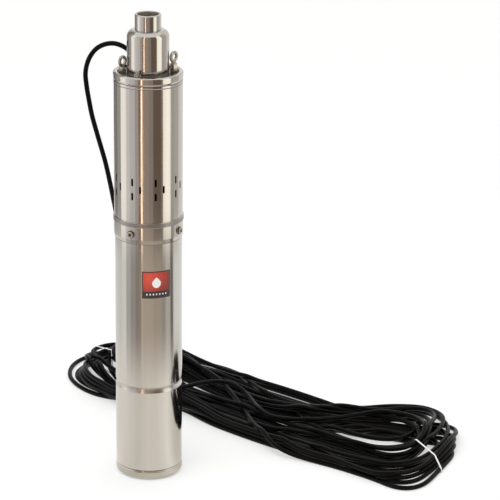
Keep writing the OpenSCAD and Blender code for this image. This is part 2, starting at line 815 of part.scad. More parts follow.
// Collar around the joint, with a lip that the sleeve stands on
module joint_collar() {
    band_bot_z = casing_top_z - collar_h;
    seat_in_r = motor_r + fit / 2;
    edge = 0.6;
    taper_h = 6;
    taper_in = 0.5;
    end_h = 0.8;
    outline = concat(
        [[inner_r + 0.15, casing_top_z], [inner_r + 0.15, lip_top_z]],
        arc([lip_r - edge, lip_top_z - edge], edge, 90, 0, 4),
        arc([lip_r - edge, casing_top_z + edge], edge, 0, -90, 4),
        [[collar_r, casing_top_z], [collar_r, band_bot_z + taper_h]],
        [[collar_r - taper_in, band_bot_z + end_h], [seat_in_r + fit, band_bot_z]],
        [[seat_in_r, band_bot_z], [seat_in_r, casing_top_z]]
    );
    color("silver") difference() {
        rotate_extrude() polygon(outline);
        at_collar_screws() translate([0, 0, motor_r - 2]) cylinder(d = collar_screw_d + 2 * hole_gap, h = 8);
    }
}

// Pan-head screws with a cross recess
module collar_screws() {
    under_r = collar_r + collar_washer_t;
    tip_r = inner_r - bracket_skirt_t - 1;
    cross_w = 1.4;
    cross_len = 5.4;
    cross_deep = 1.3;
    head_round = 1.4;
    head_rim_r = collar_head_d / 2;
    head_outline = concat(
        [[0, 0], [head_rim_r, 0]],
        arc([head_rim_r - head_round, collar_head_h - head_round], head_round, 0, 90, 6),
        [[0, collar_head_h]]
    );
    color("silver") at_collar_screws() difference() {
        union() {
            translate([0, 0, tip_r]) cylinder(d = collar_screw_d, h = under_r - tip_r);
            translate([0, 0, under_r]) rotate_extrude() polygon(head_outline);
        }
        for (turn = [45, 135])
            rotate([0, 0, turn]) translate([-cross_len / 2, -cross_w / 2, under_r + collar_head_h - cross_deep])
                cube([cross_len, cross_w, cross_deep + 1]);
    }
}

module collar_washers() {
    color("silver") at_collar_screws()
        ring(collar_screw_d / 2 + hole_gap, collar_washer_d / 2, collar_r, collar_r + collar_washer_t);
}

// Rolled groove's profile: a long hollow slope that ends at a short wall above it
function groove_side(r) = concat(
    [for (i = [0:10]) [r - groove_depth * (1 - pow(1 - i / 10, roll_hollow)), roll_bot_z + roll_slope_h * i / 10]],
    [for (i = [1:4]) [r - groove_depth * (1 + cos(45 * i)) / 2, roll_bot_z + roll_slope_h + roll_wall_h * i / 4]]
);

function turned_back(p) = [for (i = [len(p) - 1:-1:0]) p[i]];

// Motor casing: a thin tube with a groove rolled over the lower bracket
module motor_casing() {
    outline = concat(
        [[motor_r, casing_bot_z]],
        groove_side(motor_r),
        [[motor_r, casing_top_z], [motor_in_r, casing_top_z]],
        turned_back(groove_side(motor_in_r)),
        [[motor_in_r, casing_bot_z]]
    );
    color("silver") difference() {
        rotate_extrude() polygon(outline);
        at_collar_screws() translate([0, 0, motor_in_r - 2]) cylinder(d = collar_screw_d + 2 * hole_gap, h = 6);
    }
}

module o_ring(z) {
    rotate_extrude() translate([motor_in_r - o_ring_d / 2 - fit / 2, z]) circle(d = o_ring_d);
}

module upper_o_ring() {
    color([0.1, 0.1, 0.1]) o_ring(casing_top_z - o_ring_drop - o_ring_d / 2 - o_ring_room);
}

module lower_o_ring() {
    color([0.1, 0.1, 0.1]) o_ring(foot_h + lower_o_ring_rise);
}

// Ball bearing rings, balls and cage around a mid height
module bearing_outer(z) {
    shoulder_in_r = ball_ring_r + ball_r * 0.6;
    rotate_extrude() difference() {
        translate([shoulder_in_r, z]) square([bearing_out_r - shoulder_in_r, bearing_w]);
        translate([ball_ring_r, z + bearing_w / 2]) circle(r = ball_r + run_gap);
    }
}

module bearing_inner(z) {
    shoulder_out_r = ball_ring_r - ball_r * 0.6;
    rotate_extrude() difference() {
        translate([bearing_in_r, z]) square([shoulder_out_r - bearing_in_r, bearing_w]);
        translate([ball_ring_r, z + bearing_w / 2]) circle(r = ball_r + run_gap);
    }
}

module at_balls(z) {
    for (i = [0:balls_n - 1]) at_az(360 * i / balls_n, ball_ring_r, z + bearing_w / 2) children();
}

module bearing_cage(z) {
    cage_half = ball_r + 1.2;
    mid_z = z + bearing_w / 2;
    difference() {
        ring(ball_ring_r - 1, ball_ring_r + 1, mid_z - cage_half, mid_z + cage_half);
        at_balls(z) rotate([90, 0, 0]) cylinder(r = ball_r + run_gap, h = ball_d, center = true);
    }
}

module upper_outer_ring() {
    color("gainsboro") bearing_outer(upper_bearing_z);
}

module upper_inner_ring() {
    color("gainsboro") bearing_inner(upper_bearing_z);
}

module upper_balls() {
    color("white") at_balls(upper_bearing_z) sphere(r = ball_r);
}

module upper_cage() {
    color("tan") bearing_cage(upper_bearing_z);
}

module lower_outer_ring() {
    color("gainsboro") bearing_outer(lower_bearing_z);
}

module lower_inner_ring() {
    color("gainsboro") bearing_inner(lower_bearing_z);
}

module lower_balls() {
    color("white") at_balls(lower_bearing_z) sphere(r = ball_r);
}

module lower_cage() {
    color("tan") bearing_cage(lower_bearing_z);
}

// Upright bars on a circle: the core's slots, or the winding in them
module slot_bars(inset, z0, z1) {
    for (i = [0:core_slots - 1])
        at_az(360 * i / core_slots, 0)
            translate([-core_slot_w / 2 + inset, -core_slot_in_r - core_slot_len + inset, z0])
                cube([core_slot_w - 2 * inset, core_slot_len - 2 * inset, z1 - z0]);
}

module stator_core() {
    color("slategray") difference() {
        ring(core_in_r, inner_r, core_bot_z, core_top_z);
        slot_bars(0, core_bot_z - 1, core_top_z + 1);
    }
}

// Copper winding: bars in the slots and a rounded ring of end turns above and below
module stator_winding() {
    turns_gap = 2;
    color("peru") {
        slot_bars(fit, core_bot_z - turns_gap - 1, core_top_z + turns_gap + 1);
        for (z = [core_top_z + turns_gap, core_bot_z - winding_h])
            rotate_extrude() polygon(
                soft_box(winding_in_r, z, winding_out_r, z + winding_h - turns_gap, winding_round)
            );
    }
}

module rotor_core() {
    color("gray") ring(shaft_r, core_in_r - air_gap, core_bot_z, core_top_z);
}

module rotor_end_rings() {
    color("lightgray") {
        ring(shaft_r + 2, end_ring_r, core_top_z, core_top_z + end_ring_h);
        ring(shaft_r + 2, end_ring_r, core_bot_z - end_ring_h, core_bot_z);
    }
}

// Stepped shaft from the lower bearing to the drive hub
module motor_shaft() {
    color("silver") {
        disc(bearing_in_r - 0.5, shaft_bot_z, lower_bearing_z);
        disc(bearing_in_r, lower_bearing_z, lower_bearing_z + bearing_w);
        disc(shaft_r, lower_bearing_z + bearing_w, upper_bearing_z);
        disc(bearing_in_r, upper_bearing_z, upper_bearing_top_z);
        disc(shaft_end_r, upper_bearing_top_z, shaft_top_z);
    }
}

// Bracket at the bottom of the motor, held by the casing's rolled groove
module lower_bracket() {
    waist_r = inner_r - groove_depth;
    waist_half = groove_w / 2 + 1;
    bore_r = bearing_out_r + fit / 2;
    rim_in_r = inner_r - 5;
    outline = [
        [0, lower_bracket_bot_z], [inner_r, lower_bracket_bot_z],
        [inner_r, groove_mid_z - waist_half], [waist_r, groove_mid_z - waist_half],
        [waist_r, groove_mid_z + waist_half], [inner_r, groove_mid_z + waist_half],
        [inner_r, lower_bracket_top_z], [rim_in_r, lower_bracket_top_z],
        [rim_in_r, lower_bracket_bot_z + lower_bracket_t], [lower_hub_r, lower_bracket_bot_z + lower_bracket_t],
        [lower_hub_r, lower_bracket_top_z], [bore_r, lower_bracket_top_z], [bore_r, lower_bearing_z],
        [bearing_in_r + 3, lower_bearing_z], [bearing_in_r + 3, lower_bracket_bot_z + 4],
        [0, lower_bracket_bot_z + 4]
    ];
    color("lightgray") difference() {
        rotate_extrude() polygon(outline);
        for (az = [90, 270])
            at_az(az, lead_ring_r) disc(wire_r + 0.3, lower_bracket_bot_z - 1, lower_bracket_top_z);
    }
}

// Capacitor standing in the chamber plate's socket, with two terminals on top
module capacitor() {
    top_z = plate_top_z + capacitor_len;
    color("whitesmoke") {
        rotate_extrude() polygon(concat(
            [[0, plate_top_z], [capacitor_r, plate_top_z]],
            arc([capacitor_r - 2, top_z - 2], 2, 0, 90, 5),
            [[0, top_z]]
        ));
        for (az = [90, 270]) at_az(az, terminal_ring_r) disc(terminal_r, top_z, top_z + terminal_h);
    }
}

// Leads from the capacitor's terminals, through the lower bracket, to the winding
module capacitor_leads() {
    terminal_z = plate_top_z + capacitor_len + terminal_h;
    reach = lead_ring_r - terminal_ring_r;
    color("royalblue") for (az = [90, 270]) {
        at_az(az, terminal_ring_r) disc(wire_r, terminal_z, lead_bend_z);
        at_az(az, terminal_ring_r, lead_bend_z) sphere(r = wire_r);
        at_az(az, terminal_ring_r, lead_bend_z) rotate([90, 0, 0]) cylinder(r = wire_r, h = reach);
        at_az(az, lead_ring_r, lead_bend_z) sphere(r = wire_r);
        at_az(az, lead_ring_r) disc(wire_r, lead_bend_z, core_bot_z - winding_h - 0.3);
    }
}

// Plate over the diaphragm, with the capacitor's socket and holes for the oil
module chamber_plate() {
    socket_r = capacitor_r + fit;
    color("dimgray") difference() {
        union() {
            disc(cap_ring_r - fit, plate_z, plate_top_z);
            ring(socket_r, socket_r + socket_wall, plate_top_z, plate_top_z + socket_h);
        }
        for (i = [0:plate_holes - 1])
            at_az(360 * i / plate_holes, capacitor_r + socket_wall + plate_hole_r + 2)
                disc(plate_hole_r, plate_z - 1, plate_top_z + 1);
    }
}

module plate_ring() {
    color("silver") ring(cap_ring_r - 3, cap_ring_r + 1, plate_top_z + fit, plate_top_z + fit + plate_ring_t);
}

// Rubber diaphragm with one round fold, clamped at its rim
module diaphragm() {
    fold_r = cap_room_r - 12;
    fold_in = 4;
    skin = 1.4;
    fold_c = [fold_r, cap_ledge_z + skin];
    outline = concat(
        [[0, cap_ledge_z], [fold_r - fold_in, cap_ledge_z]],
        arc([fold_r, cap_ledge_z], fold_in, 180, 360, 12),
        [[cap_ring_r - fit, cap_ledge_z], [cap_ring_r - fit, cap_ledge_z + diaphragm_t]],
        [[cap_room_r, cap_ledge_z + diaphragm_t], [cap_room_r, cap_ledge_z + skin]],
        arc(fold_c, fold_in - skin, 360, 180, 10),
        [[0, cap_ledge_z + skin]]
    );
    color([0.12, 0.12, 0.12]) rotate_extrude() polygon(outline);
}

// Bottom cap: rounded foot and a bead that leans back to the seam, with a spigot in the casing
module bottom_cap() {
    edge = 3;
    bead_low = foot_h * 0.35;
    bead_high = foot_h * 0.55;
    bead_mid = (bead_low + bead_high) / 2;
    lean_z = (bead_high + foot_h) / 2;
    bead_lean = 0.2;
    seam_w = 0.4;
    seam_r = motor_r - 0.6;
    o_z = foot_h + lower_o_ring_rise;
    groove_half = o_ring_d / 2 + o_ring_room;
    groove_r = inner_r - o_ring_d;
    clip_z = plate_top_z + fit / 2;
    foot_ring_w = 3;
    foot_in_r = foot_r - edge - foot_ring_w;
    round_stop = -20;
    outline = concat(
        [[port_r, cap_hollow_z], [foot_in_r - 1, cap_hollow_z], [foot_in_r, 0], [foot_r - edge, 0]],
        arc([foot_r - edge, edge], edge, -90, round_stop, 5),
        [[bead_r - bead_lean, bead_low], [bead_r, bead_mid], [bead_r - bead_lean / 2, bead_high]],
        [[bead_r - 2 * bead_lean, lean_z], [seam_r, foot_h - seam_w], [seam_r - seam_w, foot_h]],
        [[inner_r, foot_h], [inner_r, o_z - groove_half], [groove_r, o_z - groove_half]],
        [[groove_r, o_z + groove_half], [inner_r, o_z + groove_half], [inner_r, cap_spigot_z]],
        [[cap_ring_r, cap_spigot_z], [cap_ring_r, clip_z + plate_ring_t + fit]],
        [[cap_ring_r + 1 + fit, clip_z + plate_ring_t + fit], [cap_ring_r + 1 + fit, clip_z]],
        [[cap_ring_r, clip_z], [cap_ring_r, cap_ledge_z], [cap_room_r, cap_ledge_z]],
        [[cap_room_r, cap_hollow_z + cap_base_t], [port_r, cap_hollow_z + cap_base_t]]
    );
    color("silver") rotate_extrude() polygon(outline);
}

// Sticker wrapped on the casing
module rating_label() {
    turn = label_w / motor_r * 180 / PI;
    color([0.75, 0.1, 0.08]) rotate([0, 0, label_az - 90]) rotate_extrude(angle = turn)
        translate([motor_r + fit / 2, casing_top_z - label_drop - label_h]) square([label_t, label_h]);
}

module cable_lead() {
    color([0.08, 0.08, 0.08]) tube_along(smooth(lead_route, lead_steps), cable_r, lead_ring_sides);
}

// Outer shape of the hank: two round ends and the runs between them
module cable_hank() {
    span = hank_right - hank_left;
    color([0.08, 0.08, 0.08]) linear_extrude(height = hank_h) {
        translate(hank_left) circle(r = hank_left_r);
        translate(hank_right) circle(r = hank_right_r);
        translate(hank_left) rotate([0, 0, atan2(span[1], span[0])])
            translate([0, -hank_w / 2]) square([norm(span), hank_w]);
    }
}

// Two ties laid over the hank's runs
module cable_ties() {
    color("white") for (spot = tie_spots)
        translate([spot[0], spot[1], hank_h]) rotate([0, 0, spot[2] - 90])
            translate([-spot[3] / 2, -tie_w / 2, 0]) cube([spot[3], tie_w, tie_t]);
}

discharge_head();
outlet_socket();
head_flange();
head_gasket();
top_cap();
pump_sleeve();
stator_tube();
rubber_stator();
helical_rotor();
coupling_rod();
drive_hub();
inlet_cage();
tie_rods();
stud_nuts();
eye_left();
eye_right();
eye_lock_nut();
cable_grommet();
inner_cable();
lead_gland();
motor_leads();
upper_bracket();
bearing_circlip();
sand_guard();
seal_seat();
seal_face();
seal_bellows();
seal_spring();
joint_collar();
collar_screws();
collar_washers();
motor_casing();
upper_o_ring();
lower_o_ring();
upper_outer_ring();
upper_inner_ring();
upper_balls();
upper_cage();
lower_outer_ring();
lower_inner_ring();
lower_balls();
lower_cage();
stator_core();
stator_winding();
rotor_core();
rotor_end_rings();
motor_shaft();
lower_bracket();
capacitor();
capacitor_leads();
chamber_plate();
plate_ring();
diaphragm();
bottom_cap();
rating_label();
cable_lead();
cable_hank();
cable_ties();
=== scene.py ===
"""Borehole submersible pump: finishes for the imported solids, its cable and hank, and a plain studio."""
import json
import math

import bpy
import numpy as np
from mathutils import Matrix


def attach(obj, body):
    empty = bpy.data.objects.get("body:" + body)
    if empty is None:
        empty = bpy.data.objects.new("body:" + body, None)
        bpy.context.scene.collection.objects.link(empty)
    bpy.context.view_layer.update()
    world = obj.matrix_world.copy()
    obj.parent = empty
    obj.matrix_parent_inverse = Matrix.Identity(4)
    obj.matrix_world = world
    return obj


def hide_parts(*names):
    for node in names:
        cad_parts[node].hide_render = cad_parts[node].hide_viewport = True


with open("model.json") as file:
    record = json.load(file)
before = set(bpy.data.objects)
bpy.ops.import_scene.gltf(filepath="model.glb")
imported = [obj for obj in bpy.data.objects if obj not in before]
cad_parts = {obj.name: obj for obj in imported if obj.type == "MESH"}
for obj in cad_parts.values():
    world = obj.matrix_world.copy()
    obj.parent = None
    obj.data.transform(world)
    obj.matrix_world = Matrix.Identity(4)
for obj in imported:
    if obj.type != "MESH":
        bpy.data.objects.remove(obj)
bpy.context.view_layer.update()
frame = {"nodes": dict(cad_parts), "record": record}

MM = 0.001

# Camera: the photograph's viewing angle
CAMERA_PLACE = (0.1458, -3.5, 1.563)
CAMERA_TILT = math.radians(70.78)
CAMERA_ROLL = math.radians(0.63)
CAMERA_LENS = 185.6
SENSOR_WIDTH = 36.0
# The camera as it was when the hank was traced, in metres and in pixels of the photograph
TRACE_EYE = (0.1463, -3.5, 1.563)
TRACE_FOCUS = 2577.7
PHOTO_MID = 250.0

# Cable: its size, and the lead's route from the head to the floor in millimetres, as the solids have it
CABLE_D = 7.0
CABLE_R = CABLE_D / 2
LEAD_ROUTE = [
    (-18.15, 31.437, 588.2), (-18.15, 31.437, 595.2), (-18.15, 31.437, 603.2),
    (-20, 33, 614), (-26, 34, 625), (-36, 35, 633), (-49, 37, 637), (-63, 39, 635),
    (-76, 41, 627), (-86, 43, 612), (-91, 46, 592), (-90, 49, 572), (-87, 53, 549),
    (-83, 58, 524), (-77, 63, 498), (-71, 69, 473), (-65, 75, 447), (-59, 83, 413),
    (-53, 92, 375), (-46, 103, 330), (-39, 116, 280), (-32, 131, 230), (-25, 148, 180),
    (-18, 166, 132), (-10, 184, 90), (0, 200, 58), (13, 215, 38), (30, 230, 31),
    (50, 246, 30), (72, 259, 30), (96, 266, 30), (118, 262, 29), (136, 248, 24),
]
# The lead's way over the hank and through one inner turn, in millimetres on the floor
TAIL_ROUTE = [
    (147, 226), (154, 202), (160, 178), (170, 157), (188, 144), (214, 140), (250, 146), (290, 160),
    (334, 169), (372, 165), (397, 148), (411, 120), (414, 90), (406, 60), (388, 38), (356, 36), (310, 62),
    (230, 122), (150, 182), (80, 236), (20, 284), (-30, 318), (-58, 334), (-74, 356), (-72, 380),
    (-56, 396), (-32, 398), (-8, 390), (14, 381),
]
# Its way back over the top to the front edge: pixels of the photograph, and heights in millimetres
CROSSING_TRACE = [
    (182, 354.8, 30), (190.8, 360, 28), (200.8, 367.2, 25), (211.7, 374.2, 22), (220, 380, 20),
    (227, 386.8, 18), (234.2, 394.4, 17), (240, 402, 18), (244.5, 409.6, 18), (249, 417.5, 18),
    (253.3, 424.8, 16), (258.3, 432.8, 14), (262.5, 439.5, 10),
]

# The hank's fourteen turns, from the first one laid down to the cable's end, in pixels of the photograph.
# Eight of them follow strands that can be seen there. The third, fourth, fifth, eighth, ninth and tenth
# were laid between those. A turn has a front run from left to right, a right bend, a back run from right
# to left and a left bend.
FIRST_TURN = (
    [(276, 450.8), (288, 455), (305, 459), (330, 465), (350.8, 471.6), (363, 475.2), (373.8, 478.6),
     (385.4, 484), (396, 488.5), (408.5, 490), (420, 487), (429.2, 480), (436, 472.5), (441.5, 467)],
    [(447, 461.5), (452.3, 455.5), (453.5, 449.5), (449, 445), (440, 443)],
    [(429, 442.6), (419, 442), (408, 440), (397, 437.5), (377.7, 433.7), (355, 429.5), (330, 422.5),
     (305, 418), (280, 412.5), (255, 404.5), (230, 394), (205, 382.5), (185, 373)],
    [(160, 364), (135, 352.5), (115, 345.4), (104, 346.4), (94, 350.5), (83, 358), (75, 362.5), (70, 368.5),
     (68.6, 374.2), (70.8, 379.6), (77, 385.5), (87, 391), (97, 394.9), (108, 397)],
)
SECOND_TURN = (
    [(125, 399), (150, 401), (181.7, 408.5), (196.7, 416.5), (213.3, 424.5), (230, 431), (246.7, 437),
     (262, 442), (280, 448), (300, 454), (315, 457.5), (330, 461.5), (350, 467.5), (368, 474), (384, 480),
     (400, 484.6), (412, 483.5), (424, 476.5), (433, 468.5)],
    [(440, 462), (448, 454.5), (454, 447), (456, 441), (452.5, 437), (444, 436)],
    [(432, 437), (419.2, 436.5), (408, 433), (397, 430.6), (373.8, 428.7), (345, 427.5), (320, 425.5),
     (295, 422), (270, 416.5), (250, 409.5), (230, 400.5), (205, 389), (185, 379.5)],
    [(160, 371), (135, 362), (115, 356), (104, 357.5), (94, 361), (84, 366), (77.5, 369.8), (74.6, 373.2),
     (75.5, 377.5), (80.5, 382.3), (88.3, 386.2), (96.4, 389.9), (106, 393.5)],
)
FOURTH_TURN = (
    [(120, 397), (150, 399), (181.7, 405.5), (196.7, 412.5), (213.3, 421), (230, 427.5), (246.7, 433),
     (262, 438), (280, 444.5), (296, 448.5), (313, 451.5), (330, 454.5), (343, 458.5), (354, 462.5),
     (366, 466.8), (376, 470), (387, 471.8), (398, 471.8), (408, 470), (417, 466), (425, 461)],
    [(432, 455), (440, 448), (446.5, 440.5), (450, 433.5), (448.5, 428), (442, 426), (434, 427.5)],
    [(424, 429.5), (411, 427.6), (397, 424.7), (380, 422.7), (360, 421.8), (340, 421), (320, 419),
     (300, 415.5), (280, 409.4), (255, 400.7), (230, 390), (205, 378.5), (185, 369.5)],
    [(160, 363), (135, 356.5), (115, 353), (103, 356), (93, 361.5), (85, 366.8), (79.8, 370.8), (78.6, 375),
     (81.8, 380), (88, 384.8), (96, 388.6), (106, 392.4)],
)
SIXTH_TURN = (
    [(120, 397), (150, 399), (181.7, 402.8), (196.7, 409.5), (213.3, 417.5), (230, 424), (246.7, 429.5),
     (262, 434.5), (280, 442), (296.7, 449.5), (313.3, 454.2), (331.5, 457.5), (343, 462), (354.6, 466.6),
     (366, 471.2), (376, 474.8), (387, 476.8), (398, 476.6), (408, 474.6), (418, 470.6), (427.7, 464.4)],
    [(433, 459.5), (440, 453), (447.5, 445.5), (454, 437.5), (457.2, 430), (456.8, 425), (452, 422.3),
     (445, 422.8)],
    [(436, 424), (424, 424.2), (411, 421.5), (397, 419.2), (380, 418.5), (360, 417.5), (340, 416),
     (320, 413.5), (300, 410.5), (280, 405.5), (255, 396.5), (230, 386), (205, 374), (185, 365.5)],
    [(160, 358), (135, 352), (115, 350), (102, 355), (92, 362.5), (85.5, 368.5), (82.6, 372), (82.8, 376),
     (86.5, 381), (92.5, 386), (100.8, 391), (110, 395.5)],
)
SEVENTH_TURN = (
    [(125, 399.5), (150, 400), (181.7, 400), (196.7, 405.5), (213.3, 413), (230, 419.5), (246.7, 425),
     (263.3, 428.5), (275.8, 432), (288.3, 436.5), (300, 442.3), (313.3, 446.7), (327.7, 451.2),
     (339, 454.5), (354.6, 458), (366, 461.4), (377.7, 464.5), (389, 466), (400.8, 466.2), (412.3, 464.2),
     (420, 460.6)],
    [(426, 456.5), (432.5, 451.5), (439, 446), (444.8, 439.5), (448, 433), (448, 427), (445.5, 421.5),
     (441, 416.5)],
    [(434, 412.5), (425, 410.3), (413, 409.3), (400, 409.5), (385, 410), (365, 410.2), (345, 409),
     (330, 406.7), (316.7, 402.6), (300, 397.4), (284.2, 392.6), (270, 387.8), (257.5, 383.4), (243, 378.4),
     (225, 373), (205, 367), (185, 361)],
    [(160, 353), (135, 347), (115, 346.5), (102, 349), (92.5, 351.6), (86.5, 355.5), (84.6, 360.5),
     (86.8, 366), (93.3, 372.5), (102.6, 378)],
)
EIGHTH_TURN = (
    [(115, 385.5), (135, 391), (160, 395.5), (185, 399), (205, 403.8), (230, 410.5), (250, 416.5),
     (270, 422.5), (295, 430.5), (320, 437.5), (335, 441.2), (348, 445), (362, 450), (378, 455.5),
     (392, 458.8), (405, 458)],
    [(414, 455), (420, 450.5), (422, 445.5), (418, 441.5)],
    [(408, 440), (395, 438.8), (380, 437), (362, 434.6), (345, 431), (320, 423.5), (300, 414), (284, 405),
     (270, 398.3), (255, 392.8), (242, 387.6), (230, 383), (213, 376.5), (200, 371), (188, 365.5)],
    [(165, 360.5), (142, 358), (126, 357.5), (112, 359), (101, 362), (94.5, 366.5), (94.5, 372.5),
     (100.5, 378.5), (109, 383.5)],
)
NINTH_TURN = (
    [(120, 392), (135, 393.5), (160, 394), (185, 395.5), (205, 399), (230, 407), (250, 413.5), (270, 418.5),
     (295, 422.5), (320, 429), (345, 434.6), (362, 438.4), (378, 440.6), (395, 441), (408, 439)],
    [(416, 434), (420.3, 428.8), (420.6, 423.6), (416, 419), (407, 416.6)],
    [(395, 415.2), (380, 414.6), (360, 413.6), (340, 412.6), (320, 408.6), (300, 403), (284, 398),
     (270, 393.2), (255, 388), (242, 383.2), (230, 379), (213, 374.8), (200, 368.6), (188, 363)],
    [(165, 360), (142, 357.5), (126, 357.5), (113, 360), (103, 363.4), (97.5, 367.5), (98, 373),
     (104, 378.5), (112, 383)],
)
ELEVENTH_TURN = (
    [(115, 383.6), (135, 389), (160, 393.5), (185, 398.5), (205, 404.5), (230, 412), (250, 419), (270, 425),
     (295, 432.5), (320, 440.3), (345, 447), (368, 454.5), (390, 458.5), (405, 456.5), (414, 450)],
    [(418.5, 444), (420.6, 437.8), (419.2, 431.4), (414.6, 426), (406, 421.2), (396, 418.5)],
    [(381.5, 417), (362, 415.6), (345, 414.6), (330, 413.5), (313.3, 412.2), (292.5, 411.2), (280, 408.8),
     (270, 405), (255, 401.5), (241.7, 397), (230, 392.5), (220, 388.5), (213.3, 385.5), (200.8, 378.3),
     (190.8, 372.5)],
    [(175, 365), (150, 357), (128, 351.5), (112, 351), (100, 351.8), (92.5, 354.4), (89.6, 358.2),
     (91.5, 362.5), (98, 366.8), (105.8, 371.6)],
)
TWELFTH_TURN = (
    [(115, 375.8), (135, 383.5), (160, 391), (185, 397.8), (205, 403), (221.7, 408.5), (238.3, 414),
     (255, 421), (272, 428.5), (295, 437.8), (320, 446), (345, 452), (370, 460.5), (392, 463.3),
     (408, 460.5), (417, 453)],
    [(422.5, 445.5), (427, 437), (430.3, 428.5), (430.3, 421.6), (426, 415.6), (417.5, 412.4), (405, 411.5)],
    [(390, 411.8), (373.8, 412), (355, 412.3), (335.4, 411.9), (316.7, 410.8), (300, 408.8), (284.2, 405),
     (270, 401.5), (255, 397), (242.5, 391.7), (231.7, 386.7), (219.2, 381.5), (211.7, 377.5),
     (200.8, 370.8), (190.8, 364.4)],
    [(175, 358.5), (150, 353.5), (130, 353.5), (115, 355), (105, 355.5), (98.8, 356.3), (97.2, 359),
     (101.5, 362.6), (108.9, 366)],
)
THIRTEENTH_TURN = (
    [(118, 367.5), (135, 375.5), (160, 387), (185, 397), (205, 400.5), (222, 404.5), (238, 410),
     (255, 415.5), (272, 420.5), (295, 425), (320, 431.5), (345, 438), (362, 443.5), (378, 447.3),
     (392, 448.2), (405, 447.6), (414, 445)],
    [(419.5, 441.2), (425.5, 435), (431, 428.2), (434.8, 420.5), (434.6, 413.5), (430, 408.6),
     (420.5, 406.9), (408.5, 407.6)],
    [(396.9, 409.8), (389.2, 410.7), (373.8, 411), (360, 410.6), (345, 410.3), (330, 409.6), (318, 408.2),
     (310, 406.7), (300, 405), (284.2, 401.3), (270, 396.3), (260, 389.6), (250.8, 382.6), (242.5, 376.7),
     (234.2, 371), (226.7, 367.5), (213.3, 363.3), (196.7, 359.2), (185, 355.8)],
    [(160, 351), (140, 350), (124, 353), (114, 357), (111, 361), (114, 365)],
)
FOURTEENTH_TURN = (
    [(125, 370), (150, 383), (181.7, 396.5), (190, 398.5), (205, 403.3), (221.7, 409.2), (238.3, 415.2),
     (249, 420), (262, 426), (275.8, 429.6), (290, 431.4), (303, 432.5), (315, 434.2), (330, 436.8),
     (342, 439.8), (352, 443.2), (363, 447.7), (373.8, 451.6), (385.4, 454.8), (396.9, 455.4), (405.5, 454),
     (412.5, 451)],
    [(420, 445.6), (429.2, 439), (437.4, 430.8), (442, 424.3), (443.6, 418), (440, 411.6), (431, 406.5),
     (420, 404)],
    [(404.6, 404.2), (389.2, 405.5), (370, 407.1), (352, 407.6), (340, 406.4), (330, 403.8), (318, 399.4),
     (305, 395), (280, 386.9), (255, 379.3), (243, 375.8), (230, 371.2), (215, 366.3), (200, 362),
     (185, 357.5)],
    [(172, 355.5), (158, 357), (146, 360)],
)
THIRD_BACK = [
    (436, 431.5), (424, 432.8), (411, 430.6), (397, 427.8), (385, 426.6), (373.8, 425.7), (345, 424.3),
    (320, 422.6), (295, 419), (270, 413), (250, 406), (230, 397), (205, 385.8), (185, 376.3),
]
FIFTH_BACK = [
    (444, 440), (432, 440.2), (419, 439.2), (408, 436.6), (397, 434.1), (385, 432.4), (373.8, 431.3),
    (345, 430), (320, 427), (295, 424), (270, 419), (250, 412), (230, 404), (205, 394), (185, 386),
]
TENTH_BACK = [
    (408, 419.5), (397, 421.2), (380, 420.6), (360, 419.6), (340, 418.4), (320, 416.2), (300, 413),
    (280, 407.4), (255, 398.6), (230, 388), (205, 376.2), (185, 367.5),
]
TENTH_LEFT = [
    (160, 361.5), (140, 360.5), (126, 361.5), (114, 364.5), (107, 368), (106, 372.5), (110.5, 377),
    (119, 381),
]
BETWEEN_FRONT = 20
BETWEEN_BEND = 8
BETWEEN_LEFT = 11
THIRD_SHARE = 0.45
# Heights of the four parts of each turn in millimetres, guessed before the cable lies down
PART_HEIGHTS = (
    (4, 5, 4, 4), (4, 8, 4, 4), (5, 8, 4, 4), (5, 9, 4, 4), (6, 9, 4, 5), (9, 12, 4, 5), (11, 14, 9, 11),
    (6, 8, 6, 8), (5, 7, 7, 9), (8, 11, 6, 10), (9, 11, 9, 14), (10, 13, 10, 16), (9, 15, 12, 18),
    (14, 20, 14, 14),
)

# Ties: where each crosses the hank, from its back side to its front side
TIES = {
    "left_tie": ((-116, 430), (-74, 364)),
    "right_tie": ((393, 58), (433, -8)),
}
TIE_WIDTH = 2.5
TIE_THICK = 1.0
TIE_EDGE = 0.4
TIE_POINTS = 60
TIE_SIDES = 12
LOCK_HALF = (3.0, 2.4, 1.9)
LOCK_EDGE = 0.35
LOCK_ROWS = 13
LOCK_SIDES = 24

# Bare end: how far the cores and their tips stand out of the sheath, and how they spread
CORE_R = 1.2
CORE_OFF = 1.7
CORE_IN = 3.0
CORE_OUT = 36.0
CORE_SPREAD = 0.004
CORE_TURN = 0.4
CORE_POINTS = 40
TIP_R = 0.8
TIP_OUT = 7.0


# Curves and surfaces

def catmull_rom(points, per_span=24):
    """A smooth curve through the points: on each span, the cubic whose slope at a point is half of
    the step between its neighbours."""
    p = np.asarray(points, float)
    p = np.vstack((2 * p[0] - p[1], p, 2 * p[-1] - p[-2]))
    t = np.linspace(0, 1, per_span, endpoint=False)[None, :, None]
    a, b, c, d = (p[i:len(p) - 3 + i, None, :] for i in range(4))
    curve = 0.5 * (2 * b + (c - a) * t
                   + (2 * a - 5 * b + 4 * c - d) * t**2
                   + (3 * b - a - 3 * c + d) * t**3)
    return np.vstack((curve.reshape(-1, p.shape[1]), p[-2]))


def run_of(curve):
    """The distance along a curve at each of its points."""
    return np.r_[0, np.cumsum(np.linalg.norm(np.diff(curve, axis=0), axis=1))]


def at_marks(curve, run, count):
    """A count of points of a curve, evenly spread over its run."""
    marks = np.linspace(0, run[-1], count)
    return np.column_stack([np.interp(marks, run, column) for column in curve.T])


def even_steps(curve, step, axes=3):
    """The same curve with points a step apart along it, as its first axes measure it."""
    run = run_of(curve[:, :axes])
    return at_marks(curve, run, int(run[-1] / step) + 1)


